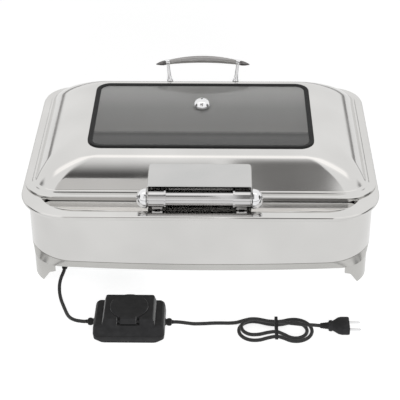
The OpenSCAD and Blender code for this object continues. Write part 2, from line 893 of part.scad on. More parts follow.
// One ring of the lid: the dome runs further in at the sides than at the front and back
function lid_ring(s, inset, z) =
  let (side = inset + s[2] * (dome_side_run - dome_end_run))
  lifted(outline(lid_hx - side, lid_y0 + inset, lid_y1 - inset, s[3], s[3]), z);

function window_ring(inset, z) =
  lifted(outline(win_hx - inset, lid_cy - win_hy + inset, lid_cy + win_hy - inset,
    win_r - inset, win_r - inset), z);

module lid_sheet() {
  n = len(lid_section);
  face = concat([for (s = lid_section) [s[0], s[1]]], [[lid_hy - win_hy + gasket_grip, lid_top_z]]);
  way = [for (i = [0 : n - 1]) unit(face[i + 1] - face[max(i - 1, 0)])];
  skin(concat(
    [for (s = lid_section) lid_ring(s, s[0], s[1])],
    [window_ring(gasket_grip, lid_top_z), window_ring(gasket_grip, lid_top_z - lid_t)],
    [for (i = [n - 1 : -1 : 0])
      lid_ring(lid_section[i], face[i][0] + lid_t * way[i][1], face[i][1] - lid_t * way[i][0])]),
    closed = true);
}

module lid_shell() {
  color(steel)
    difference() {
      lid_sheet();
      for (s = [-1, 1])
        on_handle()
          translate([s * post_pitch / 2, 0, -4])
            cylinder(d = handle_screw_d + 2 * hole_gap, h = 8);
      for (x = rivet_x)
        on_dome_wall(x)
          translate([0, 0, -4])
            cylinder(d = rivet_d + 2 * hole_gap, h = 8);
    }
}

// Gasket section: a slot for the lid's edge outside and one for the glass inside
glass_sink = 0.6;
glass_grip = gasket_w - gasket_grip - 1.2;
glass_top = lid_top_z + glass_sink;

module gasket_section() {
  c = hole_gap / 2;
  lid_in = gasket_grip + c;
  glass_in = gasket_w - glass_grip - c;
  low = glass_top - glass_t - gasket_lip;
  polygon([
    [0, lid_top_z + c],
    [-0.4, lid_top_z + gasket_lip * 0.7],
    [-1.6, lid_top_z + gasket_lip],
    [1.6 - gasket_w, lid_top_z + gasket_lip],
    [-gasket_w, glass_top + c + 0.6],
    [-gasket_w, glass_top + c],
    [-glass_in, glass_top + c],
    [-glass_in, glass_top - glass_t - c],
    [-gasket_w, glass_top - glass_t - c],
    [1 - gasket_w, low],
    [-2, low],
    [-1, lid_top_z - lid_t - c],
    [-lid_in, lid_top_z - lid_t - c],
    [-lid_in, lid_top_z + c]]);
}

module window_gasket() {
  color(black)
    translate([0, lid_cy, 0])
      swept_frame(win_hx, win_hy, win_r)
        gasket_section();
}

vent_y = lid_cy + vent_offset;
vent_stem_d = 9;
vent_bore_d = 3;
vent_washer_t = 1.2;
vent_nut_t = 5;

module window_glass() {
  edge = gasket_w - glass_grip;
  color(smoke)
    difference() {
      plate([for (p = window_ring(edge, 0)) [p[0], p[1]]], glass_top - glass_t, glass_t);
      translate([0, vent_y, glass_top - 2 * glass_t])
        cylinder(d = vent_stem_d + 2 * hole_gap, h = 3 * glass_t);
    }
}

// Steam vent: domed knob with a collar, a bored stem, a washer and a nut

module steam_vent() {
  r = vent_d / 2;
  z0 = glass_top + vent_washer_t;
  color(chrome)
    translate([0, vent_y, z0])
      rotate_extrude()
        polygon(concat(
          [[vent_bore_d / 2, -glass_t - 2 * vent_washer_t - vent_nut_t - 1],
           [vent_stem_d / 2, -glass_t - 2 * vent_washer_t - vent_nut_t - 1],
           [vent_stem_d / 2, 0],
           [r - 1, 0],
           [r, 1],
           [r, 3]],
          [for (a = [0 : 12 : 72]) [r * cos(a), 3 + (vent_h - 3) * sin(a)]],
          [[vent_bore_d / 2, 3 + (vent_h - 3) * sin(83)]]));
}

module vent_washer() {
  color(black)
    translate([0, vent_y, 0])
      difference() {
        union() {
          translate([0, 0, glass_top])
            cylinder(d = vent_d - 3, h = vent_washer_t);
          translate([0, 0, glass_top - glass_t - vent_washer_t])
            cylinder(d = vent_d - 5, h = vent_washer_t);
        }
        translate([0, 0, glass_top - 3 * glass_t])
          cylinder(d = vent_stem_d + 2 * hole_gap, h = 6 * glass_t);
      }
}

module vent_nut() {
  color(chrome)
    translate([0, vent_y, glass_top - glass_t - vent_washer_t - vent_nut_t])
      difference() {
        cylinder(d = vent_stem_d * 1.8, h = vent_nut_t, $fn = 6);
        translate([0, 0, -1])
          cylinder(d = vent_stem_d + 2 * hole_gap, h = vent_nut_t + 2);
      }
}

// Handle on the far shoulder: its own Z runs square out of the shoulder

handle_screw_d = 5;
handle_screw_bite = 12;
handle_seat = 0.05;
shoulder_y = lid_cy + top_hy;
shoulder_z = lid_top_z - shoulder_r;
collar_d = grip_end_h + 2;
collar_z = post_h + collar_d / 2 - 1;
collar_x = post_pitch / 2 + post_lean;
grip_slope = 2 * grip_arch / (collar_x - collar_l / 2);
grip_half_l = collar_x - collar_l / 2 * cos(atan(grip_slope));
stud_d = 4;
stud_l = 9;
grip_steps = 12;
grip_sides = 14;

module on_handle() {
  reach = shoulder_r * sin(handle_tilt) * dome_draw;
  translate([0, shoulder_y + reach, shoulder_z + shoulder_r * cos(handle_tilt)])
    rotate([-handle_angle, 0, 0])
      children();
}

// Frame at the middle of a collar, X pointing out along the grip
module at_collar(s) {
  translate([s * collar_x, 0, collar_z - collar_l / 2 * sin(atan(grip_slope))])
    mirror([s < 0 ? 1 : 0, 0, 0])
      rotate([0, atan(grip_slope), 0])
        children();
}

// Arched grip, thickest in its middle
module handle_grip() {
  rings = [
    for (i = [0 : grip_steps])
      let (u = 2 * i / grip_steps - 1, swell = 1 - u * u, slope = -grip_slope * u)
      let (h = mix(grip_end_h, grip_h, swell) / 2, up = unit([-slope, 0, 1]))
      [for (j = [0 : grip_sides - 1])
        let (a = 360 * j / grip_sides)
        [u * grip_half_l, 0, collar_z + grip_arch * swell]
          + h * (0.9 * cos(a) * [0, 1, 0] + sin(a) * up)]];
  color(satin)
    on_handle()
      difference() {
        skin(rings);
        for (s = [-1, 1])
          at_collar(s)
            rod_x(-collar_l / 2 - stud_l - 1, 0, stud_d + 2 * hole_gap, 0, 0);
      }
}

// Slim post with a flared foot below and a collar for the grip on top
post_base_h = 3.5;
post_flare_d = post_foot_d - 2.6;
post_steps = 6;

module handle_post(s) {
  foot = post_foot_d / 2;
  waist = post_d / 2;
  stem_top = post_h + 1.5;
  color(chrome)
    on_handle()
      difference() {
        union() {
          translate([s * post_pitch / 2, 0, handle_seat]) {
            rotate_extrude()
              polygon([
                [0, 0],
                [foot - 0.6, 0],
                [foot, 0.6],
                [foot, post_base_h - 0.5],
                [foot - 0.5, post_base_h],
                [0, post_base_h]]);
            rotate([0, s * atan(post_lean / post_h), 0])
              rotate_extrude()
                polygon(concat(
                  [[0, post_base_h / 2], [post_flare_d / 2, post_base_h / 2]],
                  [for (i = [0 : post_steps])
                    let (u = i / post_steps)
                    [mix(waist, post_flare_d / 2, pow(1 - u, 3)),
                      post_base_h + 0.5 + u * post_h / 2]],
                  [[waist - 0.5, stem_top], [0, stem_top]]));
          }
          at_collar(s)
            rod_x(-collar_l / 2, collar_l / 2, collar_d, 0, 0);
        }
        at_collar(s)
          rod_x(-collar_l, collar_l, stud_d + 2 * hole_gap, 0, 0);
        translate([s * post_pitch / 2, 0, -1])
          cylinder(d = handle_screw_d + 2 * hole_gap, h = handle_screw_bite + 1 + seat_gap);
      }
}

module handle_post_left() {
  handle_post(-1);
}

module handle_post_right() {
  handle_post(1);
}

// Pointed ends, each with the stud that runs through its collar into the grip
module handle_finials() {
  reach = grip_l / 2 - collar_x - collar_l / 2;
  r = grip_end_h / 2;
  color(satin)
    on_handle()
      for (s = [-1, 1])
        at_collar(s)
          translate([collar_l / 2, 0, 0])
            rotate([0, 90, 0])
              rotate_extrude()
                polygon([
                  [0, -collar_l - stud_l],
                  [stud_d / 2, -collar_l - stud_l],
                  [stud_d / 2, 0],
                  [r * 0.8, 0],
                  [r, reach * 0.1],
                  [r, reach * 0.3],
                  [r * 0.75, reach * 0.6],
                  [r * 0.25, reach * 0.95],
                  [0, reach]]);
}

module handle_screws() {
  head_seat = -lid_t - 2 * seat_gap;
  color(chrome)
    on_handle()
      for (s = [-1, 1])
        translate([s * post_pitch / 2, 0, head_seat]) {
          cylinder(d = handle_screw_d, h = handle_screw_bite - head_seat);
          translate([0, 0, -3])
            cylinder(d = handle_screw_d * 1.8, h = 3);
        }
}

// Hinge: hood riveted to the dome, turning with the axle in two bearings on the ledge

hood_z = hinge_z + hood_rise;
hood_lip = 3;
hood_front_y = hinge_y + hood_lip;
hood_hx = hood_w / 2;
hood_reach_y = lid_y0 + lid_hy / 2;
cheek_low_z = dome_z + 1.5;
rivet_d = 4;
rivet_head_d = 8;
rivet_head_h = 1.5;
rivet_x = [-50, 0, 50];
rivet_mid = dome_straight / 2;

// Side of the hood's room that the lid takes up, in Y and Z
module lid_side() {
  low = lid_lip_z - 5;
  polygon(concat(
    [for (s = lid_section) [lid_y0 + s[0], s[1]]],
    [[lid_cy, lid_top_z], [lid_cy, low], [lid_y0, low]]));
}

module cheek_shape() {
  difference() {
    union() {
      polygon([
        [hood_front_y, hood_z],
        [hood_reach_y, hood_z],
        [hood_reach_y, cheek_low_z],
        [hinge_y, cheek_low_z],
        [hinge_y - cheek_r * cos(30), hinge_z + cheek_r * sin(30)]]);
      translate([hinge_y, hinge_z])
        circle(r = cheek_r);
    }
    translate([-seat_gap, 0])
      lid_side();
  }
}

// Sheet on top of the cheeks and down the dome's wall
module hood_sheet_shape() {
  difference() {
    polygon([
      [hood_front_y, hood_z],
      [hood_reach_y, hood_z],
      [hood_reach_y, cheek_low_z + 4],
      [lid_y0 + lid_flange_w, cheek_low_z + 4],
      [lid_y0 + lid_flange_w, hood_z - hood_t],
      [hood_front_y, hood_z - hood_t]]);
    translate([-seat_gap, 0])
      lid_side();
    difference() {
      translate([lid_y0, 0])
        square([lid_cy - lid_y0, hood_z - hood_t]);
      translate([-seat_gap - hood_t, 0])
        lid_side();
    }
  }
}

// Frame on the middle of the dome's straight wall, Z pointing out of it
module on_dome_wall(x) {
  run = (dome_foot_r * sin(dome_angle) + rivet_mid * cos(dome_angle)) * dome_draw;
  rise = dome_foot_r * (1 - cos(dome_angle)) + rivet_mid * sin(dome_angle);
  translate([x, lid_y0 + lid_flange_w + run, dome_z + rise])
    rotate([dome_wall_angle, 0, 0])
      children();
}

module hinge_hood() {
  color(chrome)
    difference() {
      union() {
        along_x(-hood_hx, hood_hx)
          hood_sheet_shape();
        for (s = [-1, 1])
          along_x(s * (hood_hx - hood_t / 2) - hood_t / 2, s * (hood_hx - hood_t / 2) + hood_t / 2)
            cheek_shape();
      }
      rod_x(-hood_w, hood_w, axle_d + hole_gap, hinge_y, hinge_z);
      for (x = rivet_x)
        on_dome_wall(x)
          translate([0, 0, -4])
            cylinder(d = rivet_d + 2 * hole_gap, h = 12);
    }
}

module hood_rivets() {
  grip = (seat_gap + hood_t) * sin(dome_wall_angle) + lid_t;
  color(chrome)
    for (x = rivet_x)
      on_dome_wall(x)
        translate([0, 0, -lid_t]) {
          cylinder(d = rivet_d, h = grip);
          translate([0, 0, -rivet_head_h])
            cylinder(d = rivet_head_d, h = rivet_head_h);
          translate([0, 0, grip])
            cylinder(d = rivet_head_d, h = rivet_head_h);
        }
}

cap_bite = 12;

module hinge_axle() {
  color(chrome)
    rod_x(-hood_hx - cap_bite, hood_hx + cap_bite, axle_d, hinge_y, hinge_z);
}

// Domed cap on the axle's end
module hinge_cap(s) {
  r = cap_d / 2;
  rim = 3;
  color(chrome)
    translate([s * hood_hx, hinge_y, hinge_z])
      rotate([0, s * 90, 0])
        difference() {
          rotate_extrude()
            polygon(concat(
              [[0, hole_gap], [r - 1.5, hole_gap], [r, 1.5]],
              [for (a = [0 : 15 : 90]) [r * cos(a), rim + (cap_l - rim) * sin(a)]]));
          translate([0, 0, -1])
            cylinder(d = axle_d + hole_gap, h = cap_bite + 1 + seat_gap);
        }
}

module hinge_cap_left() {
  hinge_cap(-1);
}

module hinge_cap_right() {
  hinge_cap(1);
}

bearing_end = hood_hx - hood_t - 0.5;
bearing_x = (barrel_half_l + bearing_end) / 2;
bearing_screw_x = [-bearing_x, bearing_x];
bearing_foot_d = 20;
bearing_base_t = 3.5;
bearing_leg_w = 4;
collar_ring_d = sleeve_d + 3;
collar_ring_l = 3;
spigot_l = 6;
spigot_d = barrel_d - 2 * barrel_wall - 2 * turn_gap;

// Bearing sleeve on a foot with an arch through it, and a spigot for the barrel
module hinge_bearing(s) {
  color(chrome)
    mirror([s < 0 ? 1 : 0, 0, 0])
      difference() {
        union() {
          rod_x(barrel_half_l, bearing_end, sleeve_d, hinge_y, hinge_z);
          rod_x(barrel_half_l, barrel_half_l + collar_ring_l, collar_ring_d, hinge_y, hinge_z);
          rod_x(barrel_half_l - spigot_l, barrel_half_l + 1, spigot_d, hinge_y, hinge_z);
          translate([bearing_x - bearing_foot_w / 2, hinge_y - bearing_foot_d / 2, ledge_z])
            cube([bearing_foot_w, bearing_foot_d, hinge_rise - sleeve_d / 4]);
        }
        rod_x(0, hood_w, axle_d + 2 * turn_gap, hinge_y, hinge_z);
        translate([bearing_x - bearing_foot_w / 2 + bearing_leg_w, hinge_y - bearing_foot_d,
          ledge_z + bearing_base_t])
          cube([bearing_foot_w - 2 * bearing_leg_w, 2 * bearing_foot_d,
            hinge_rise - sleeve_d / 2 - bearing_base_t]);
        translate([bearing_x, hinge_y, ledge_z - 1])
          cylinder(d = screw_d + 2 * hole_gap, h = bearing_base_t + 1.5);
      }
}

module hinge_bearing_left() {
  hinge_bearing(-1);
}

module hinge_bearing_right() {
  hinge_bearing(1);
}

module hinge_barrel() {
  color(chrome)
    difference() {
      rod_x(-barrel_half_l + hole_gap, barrel_half_l - hole_gap, barrel_d, hinge_y, hinge_z);
      rod_x(-hood_w, hood_w, barrel_d - 2 * barrel_wall, hinge_y, hinge_z);
    }
}

// Damper drum that fills the barrel between the spigots
module hinge_damper() {
  l = barrel_half_l - spigot_l - hole_gap;
  color(alloy)
    difference() {
      rod_x(-l, l, spigot_d, hinge_y, hinge_z);
      rod_x(-hood_w, hood_w, axle_d + 2 * turn_gap, hinge_y, hinge_z);
    }
}

module bearing_screws() {
  color(alloy)
    for (x = bearing_screw_x)
      translate([x, hinge_y, ledge_z - sheet])
        screw_up(sheet + bearing_base_t);
}

// Controller on the cord: two shells, a dial under a flip cover and a thermostat

ctl_x = -114;
ctl_y = -323.5;
ctl_hx = ctl_l / 2;
ctl_hy = ctl_d / 2;
ctl_r = 9;
ctl_foot_r = 13;
ctl_block_proud = 0.1;
ctl_roof_z = ctl_shoulder_z - 6;
well_d = cover_d - 7;
well_z = ctl_shoulder_z - 2;
ctl_boss_x = ctl_hx - 14;
ctl_boss_y = ctl_hy - 13;
ctl_boss_d = 9;
ctl_screw_d = 3;
ctl_head_d = 6;
ctl_head_h = 3;
cover_pin_d = 3;
cover_pin_l = 45;
cover_axis_y = 1.5 - ctl_block_d / 2;
cover_axis_z = ctl_h - 5.5;
cover_z = ctl_h + move_gap;
tongue_reach = 3.5;
notch_gap = 5.5;
boot_flange_l = 3;
boot_play = 1.6;
boot_neck_l = ctl_wall + boot_play;
boot_neck_d = boot_d - 4;
boot_end_x = ctl_hx + seat_gap + boot_l - boot_flange_l - boot_neck_l;
spindle_d = 6;
bush_d = 10;
dial_z = well_z + 0.5;

module on_controller() {
  translate([ctl_x, ctl_y, 0])
    children();
}

// Half depth of the housing at a height: front and back lean in from the seam to the top
function ctl_lean(z) = mix(ctl_hy, ctl_block_d / 2, (z - ctl_seam_z) / (ctl_h - ctl_seam_z));

// Rings of a shell from half lengths, half depths, corner radii and heights
function shell_rings(rows) = [for (s = rows) lifted(outline(s[0], -s[1], s[1], s[2], s[2], 4), s[3])];

module at_bosses() {
  for (x = [-1, 1])
    for (y = [-1, 1])
      translate([x * ctl_boss_x, y * ctl_boss_y, 0])
        children();
}

module boot_holes() {
  rod_x(-ctl_l, ctl_l, boot_neck_d + 2 * hole_gap, 0, ctl_seam_z);
}

module controller_base() {
  w = ctl_wall;
  top = ctl_seam_z - seat_gap;
  color(black)
    on_controller()
      difference() {
        union() {
          difference() {
            skin(shell_rings([
              [ctl_hx - 6, ctl_hy - 1.5, ctl_foot_r, 0],
              [ctl_hx - 1, ctl_hy - 0.3, ctl_r - 1, top * 0.45],
              [ctl_hx, ctl_hy, ctl_r, top]]));
            skin(shell_rings([
              [ctl_hx - 5 - w, ctl_hy - 1.5 - w, ctl_r - 5, w],
              [ctl_hx - 1 - w, ctl_hy - 0.3 - w, ctl_r - 2, top * 0.45],
              [ctl_hx - w, ctl_hy - w, ctl_r - w, top + 1]]));
          }
          at_bosses()
            cylinder(d = ctl_boss_d, h = top);
        }
        at_bosses() {
          translate([0, 0, -1])
            cylinder(d = ctl_screw_d + 2 * hole_gap, h = 2 * ctl_seam_z);
          translate([0, 0, -1])
            cylinder(d = ctl_head_d + 4 * hole_gap, h = ctl_head_h + 2);
        }
        boot_holes();
      }
}

module controller_housing() {
  w = ctl_wall;
  bx = ctl_block_l / 2;
  by = ctl_block_d / 2;
  color(black)
    on_controller()
      difference() {
        union() {
          difference() {
            skin(shell_rings([
              [ctl_hx, ctl_hy, ctl_r, ctl_seam_z],
              [ctl_hx - 0.7, ctl_lean(ctl_shoulder_z - 8), ctl_r - 0.5, ctl_shoulder_z - 8],
              [ctl_hx - 2, ctl_lean(ctl_shoulder_z - 3), ctl_r - 1.5, ctl_shoulder_z - 3],
              [ctl_hx - 5, ctl_lean(ctl_shoulder_z) - 2, ctl_r - 4, ctl_shoulder_z]]));
            skin(shell_rings([
              [ctl_hx - w, ctl_hy - w, ctl_r - w, ctl_seam_z - 1],
              [ctl_hx - 0.8 - w, ctl_lean(ctl_roof_z) - w, ctl_r - w - 0.5, ctl_roof_z]]));
          }
          skin(shell_rings([
            [bx + 5, ctl_lean(ctl_roof_z + 2) + ctl_block_proud, 4, ctl_roof_z + 2],
            [bx + 1.5, ctl_lean(ctl_h - 3) + ctl_block_proud, 3.5, ctl_h - 3],
            [bx + 0.8, ctl_lean(ctl_h - 1), 3, ctl_h - 1],
            [bx, by - 0.6, 2.5, ctl_h]]));
          at_bosses()
            translate([0, 0, ctl_seam_z])
              cylinder(d = ctl_boss_d - 1, h = ctl_roof_z - ctl_seam_z + 1);
        }
        at_bosses()
          translate([0, 0, ctl_seam_z - 1])
            cylinder(d = ctl_screw_d + 2 * hole_gap, h = 10);
        translate([0, 0, well_z])
          cylinder(d = well_d, h = ctl_h);
        translate([0, 0, ctl_seam_z])
          cylinder(d = bush_d + 2 * hole_gap, h = ctl_h);
        translate([-tongue_w / 2 - notch_gap, -by - 10, cover_axis_z - notch_gap])
          cube([tongue_w + 2 * notch_gap, 17, ctl_h]);
        rod_x(-cover_pin_l / 2 - seat_gap, ctl_hx, cover_pin_d + hole_gap, cover_axis_y, cover_axis_z);
        boot_holes();
      }
}

module controller_screws() {
  color(alloy)
    on_controller()
      at_bosses()
        translate([0, 0, 1]) {
          cylinder(d = ctl_head_d, h = ctl_head_h - seat_gap);
          cylinder(d = ctl_screw_d, h = ctl_seam_z + 7);
        }
}

// Round cover with a tongue that hangs on the pin
module dial_cover() {
  r = cover_d / 2;
  color(black)
    on_controller()
      difference() {
        union() {
          translate([0, 0, cover_z])
            rotate_extrude()
              polygon([[0, 0], [r, 0], [r, cover_t - 0.8], [r - 0.8, cover_t], [0, cover_t]]);
          along_x(-tongue_w / 2, tongue_w / 2)
            polygon([
              [cover_axis_y - tongue_reach, cover_axis_z - tongue_reach],
              [cover_axis_y + tongue_reach, cover_axis_z - tongue_reach],
              [cover_axis_y + tongue_reach, cover_z],
              [cover_axis_y + 3 * tongue_reach, cover_z],
              [cover_axis_y + 3 * tongue_reach, cover_z + cover_t],
              [cover_axis_y - tongue_reach + 0.8, cover_z + cover_t],
              [cover_axis_y - tongue_reach, cover_z + cover_t - 0.8]]);
        }
        rod_x(-tongue_w, tongue_w, cover_pin_d + 2 * turn_gap, cover_axis_y, cover_axis_z);
      }
}

module cover_pin() {
  color(alloy)
    on_controller()
      rod_x(-cover_pin_l / 2, cover_pin_l / 2, cover_pin_d, cover_axis_y, cover_axis_z);
}

// Dial with a raised bar across it to turn it by
module temperature_dial() {
  r = dial_d / 2;
  disc_h = dial_h * 0.5;
  bar_w = 8;
  color(black)
    on_controller()
      translate([0, 0, dial_z])
        difference() {
          union() {
            rotate_extrude()
              polygon([[0, 0], [r, 0], [r, disc_h - 1], [r - 1, disc_h], [0, disc_h]]);
            translate([-bar_w / 2, 2 - r, disc_h - 1])
              cube([bar_w, 2 * r - 4, dial_h - disc_h + 1]);
          }
          translate([0, 0, -1])
            cylinder(d = spindle_d + hole_gap, h = dial_h - 1 + seat_gap);
        }
}

module dial_spindle() {
  color(alloy)
    on_controller()
      translate([0, 0, ctl_roof_z - 8])
        cylinder(d = spindle_d, h = dial_z + dial_h - 2 - ctl_roof_z + 8);
}

thermo_w = 30;
thermo_d = 26;
thermo_h = 13;

// Thermostat under the roof, its bush standing through the floor of the well
module thermostat() {
  color(alloy)
    on_controller()
      difference() {
        union() {
          translate([-thermo_w / 2, -thermo_d / 2, ctl_roof_z - thermo_h])
            cube([thermo_w, thermo_d, thermo_h]);
          translate([0, 0, ctl_roof_z - 1])
            cylinder(d = bush_d, h = well_z - ctl_roof_z + 1);
        }
        translate([0, 0, ctl_roof_z - 8 - seat_gap])
          cylinder(d = spindle_d + 2 * turn_gap, h = ctl_h);
      }
}

// Ribbed strain relief: a flange inside the shells, a neck in the wall and a taper outside
boot_ribs = 4;

module controller_boot(s) {
  neck = boot_flange_l + boot_neck_l;
  pitch = (boot_l - neck) / boot_ribs;
  r0 = boot_d / 2;
  r1 = cord_d / 2 + 1;
  color(black)
    translate([ctl_x + s * (ctl_hx + seat_gap - neck), ctl_y, ctl_seam_z])
      rotate([0, s * 90, 0])
        rotate_extrude()
          polygon(concat(
            [[0, 0], [r0, 0], [r0, boot_flange_l], [boot_neck_d / 2, boot_flange_l],
             [boot_neck_d / 2, neck]],
            [for (i = [0 : boot_ribs - 1])
              let (r = mix(r0, r1, i / (boot_ribs - 1)))
              each [[r, neck + i * pitch], [r, neck + (i + 0.6) * pitch],
                [r - 1, neck + (i + 0.6) * pitch], [r - 1, neck + (i + 1) * pitch]]],
            [[0, boot_l]]));
}

module controller_boot_in() {
  controller_boot(-1);
}

module controller_boot_out() {
  controller_boot(1);
}

// Cord: one stretch from the gland to the controller and one from the controller to the hank
cord_sides = 10;
cord_rest_z = cord_d / 2 + 0.2;

module cord_to_controller() {
  route = [
    [tab_x, gland_y, gland_z],
    [tab_x, gland_y - 7, gland_z],
    [-236.4, -211.5, 29.3],
    [-239, -219.9, 25.5],
    [-240.7, -228.2, 19.3],
    [-240.5, -237.2, 13],
    [-238.6, -246.5, 7.9],
    [-235.6, -255.8, 4.6],
    [-232.2, -265, 3.3],
    [-228.7, -274.5, cord_rest_z],
    [-225.2, -284, 3.4],
    [-221.7, -293.5, 4.6],
    [-217.9, -302.8, 7],
    [-212.3, -312, 9.8],
    [-204, -319.8, 12.2],
    [ctl_x - boot_end_x - cord_d, ctl_y, ctl_seam_z],
    [ctl_x - boot_end_x, ctl_y, ctl_seam_z]];
  color(black)
    skin(tube_rings(route, cord_d / 2, cord_sides));
}

module cord_to_hank() {
  route = [
    [ctl_x + boot_end_x, ctl_y, ctl_seam_z],
    [ctl_x + boot_end_x + cord_d, ctl_y, ctl_seam_z],
    [-27, -322.8, 11.6],
    [-17.5, -320.9, 8.6],
    [-8, -318.5, 5.6],
    [2, -316, 3.8],
    [12, -314.5, cord_rest_z],
    [22, -313.5, cord_rest_z],
    [31, -313.1, cord_rest_z],
    [hank_x - hank_lead - cord_d, hank_start_y, cord_rest_z],
    [hank_x - hank_lead, hank_start_y, cord_rest_z]];
  color(black)
    skin(tube_rings(route, cord_d / 2, cord_sides));
}

// Hank: two loops in two layers, spiralling in and out, drawn in at the waist
hank_x = 128.5;
hank_y = -332;
hank_left = 37;
hank_right = 30;
fold_r = 31;
waist_r = 21.5;
hank_step = 8.2;
hank_layer = 6.7;
hank_lift = 1.6;
hank_lift_l = 25;
hank_turns = 2;
hank_reverse = 1.5;
hank_run = 0.11;
hank_rings = 24;
hank_lead = 84;
hank_start_dip = 12;
hank_start_y = hank_y + fold_r - hank_start_dip;
hank_tail = 78;
plug_y = hank_y + 7;
plug_z = plug_t / 2 + 0.2;
hank_sides = 6;

function hank_raise(x) = hank_lift * (1 - ease(abs(x) / hank_lift_l));

// Half width of a run at x, from the waist out to the fold
function hank_width(x, fold, waist) = mix(waist, fold, ease(x < 0 ? -x / hank_left : x / hank_right));

// One point of the loops: q is the share of the turn, k the turns wound inwards
function hank_place(q, fold, waist) =
  let (a = hank_run)
  q < a ? let (x = hank_right * q / a) [x, hank_width(x, fold, waist)]
  : q < 0.5 - a ? let (th = 90 - 180 * (q - a) / (0.5 - 2 * a))
    [hank_right + fold * cos(th), fold * sin(th)]
  : q < 0.5 ? let (x = hank_right * (0.5 - q) / a) [x, -hank_width(x, fold, waist)]
  : q < 0.5 + a ? let (x = -hank_left * (q - 0.5) / a) [x, -hank_width(x, fold, waist)]
  : q < 1 - a ? let (th = 270 - 180 * (q - 0.5 - a) / (0.5 - 2 * a))
    [-hank_left + fold * cos(th), fold * sin(th)]
  : let (x = -hank_left * (1 - q) / a) [x, hank_width(x, fold, waist)];

function hank_point(t) =
  let (k = t < hank_reverse ? t : 2 * hank_reverse - t)
  let (p = hank_place(t % 1, fold_r - hank_step * k, waist_r - hank_step * k))
  [p[0], p[1], cord_rest_z + hank_layer * ease((t - hank_reverse + hank_run) / (2 * hank_run))
    + hank_raise(p[0])];

hank_in_x = [-hank_lead, -hank_lead + cord_d, -66, -54, -42, -30, -20, -10];
hank_out_x = [10, 20, 30, 42, 52, 60, 66, hank_tail - cord_d, hank_tail];
hank_end_y = waist_r - hank_step * (2 * hank_reverse - hank_turns);
hank_path = concat(
  [for (x = hank_in_x) [x,
    hank_width(x, fold_r, waist_r) - hank_start_dip * ease((-x - hank_left) / 38),
    cord_rest_z + hank_raise(x)]],
  [for (i = [0 : hank_rings * hank_turns]) hank_point(i / hank_rings)],
  [for (x = hank_out_x) [x, mix(hank_end_y, plug_y - hank_y, ease(x / 60)),
    mix(cord_rest_z + hank_layer + hank_raise(x), plug_z, ease((x - 60) / 12))]]);

// Least gap of the hank to itself, between points further apart along it than a third of a loop
hank_gap = min([
  for (i = [0 : len(hank_path) - 1]) for (j = [i + 8 : 1 : len(hank_path) - 1])
    norm(hank_path[i] - hank_path[j])]) - cord_d;
echo(hank_gap = hank_gap);

module cord_hank() {
  color(black)
    translate([hank_x, hank_y, 0])
      skin(tube_rings(hank_path, cord_d / 2, hank_sides));
}

tie_w = 5;
tie_t = 1.2;
tie_gap = 0.4;

// Band round the hank's waist
module cord_tie() {
  far = waist_r + cord_d / 2 + tie_gap;
  near = hank_step / 2 - waist_r - cord_d / 2 - tie_gap;
  low = cord_rest_z + hank_lift - cord_d / 2 - tie_gap;
  high = cord_rest_z + hank_lift + hank_layer + cord_d / 2 + tie_gap;
  mid_y = (near + far) / 2;
  half = (far - near) / 2;
  color(black)
    translate([hank_x, hank_y + mid_y, 0])
      along_x(-tie_w / 2, tie_w / 2)
        difference() {
          polygon(outline(half + tie_t, low - tie_t, high + tie_t, tie_t + 2, tie_t + 6, 4));
          polygon(outline(half, low, high, 2, 6, 4));
        }
}

// Plug: ribbed boot over the cord's end, body and two round pins
plug_boot_l = 22;
plug_boot_sleeve = 5.5;
plug_boot_tail = 8;
plug_boot_d = 12;
plug_boot_x = hank_x + hank_tail - plug_boot_sleeve;
plug_x = plug_boot_x + plug_boot_l - plug_boot_tail;
plug_face_x = plug_x + plug_l - 2;

module plug_boot() {
  open = plug_boot_l - plug_boot_tail;
  pitch = open / boot_ribs;
  tip = cord_d / 2 + 1.2;
  neck = plug_boot_d / 2 - 1.5;
  color(black)
    translate([plug_boot_x, plug_y, plug_z])
      rotate([0, 90, 0])
        rotate_extrude()
          polygon(concat(
            [[0, plug_boot_sleeve], [cord_d / 2 + turn_gap, plug_boot_sleeve],
             [cord_d / 2 + turn_gap, 0]],
            [for (i = [0 : boot_ribs - 1])
              let (r = mix(tip, plug_boot_d / 2, (i + 1) / boot_ribs))
              each [[r - 0.6, i * pitch], [r - 0.6, (i + 0.4) * pitch],
                [r, (i + 0.4) * pitch], [r, (i + 1) * pitch - seat_gap / boot_ribs]]],
            [[neck, open - seat_gap / boot_ribs], [neck, plug_boot_l - seat_gap],
             [0, plug_boot_l - seat_gap]]));
}

// Plug body: shares of its length, half widths and half thicknesses
plug_rows = [
  [0, 0.42, 0.84], [0.06, 0.5, 0.94], [0.14, 0.5, 0.94], [0.2, 0.44, 0.86], [0.3, 0.6, 0.92],
  [0.46, 0.88, 1], [0.62, 1, 1], [0.94, 1, 1], [1, 0.95, 0.92]];

module plug_body() {
  neck = plug_boot_d / 2 - 1.5;
  color(black)
    difference() {
      skin([for (s = plug_rows)
        let (w = s[1] * plug_w / 2, t = s[2] * plug_t / 2)
        [for (p = outline(w, -t, t, t * 0.7, t * 0.7, 4))
          [mix(plug_x, plug_face_x, s[0]), plug_y + p[0], plug_z + p[1]]]]);
      rod_x(plug_x - 1, plug_x + plug_boot_tail, 2 * neck + 2 * hole_gap, plug_y, plug_z);
    }
}

module plug_pins() {
  color(chrome)
    for (s = [-1, 1]) {
      rod_x(plug_face_x, plug_face_x + pin_l - pin_d / 2, pin_d, plug_y + s * pin_pitch / 2, plug_z);
      translate([plug_face_x + pin_l - pin_d / 2, plug_y + s * pin_pitch / 2, plug_z])
        sphere(d = pin_d);
    }
}

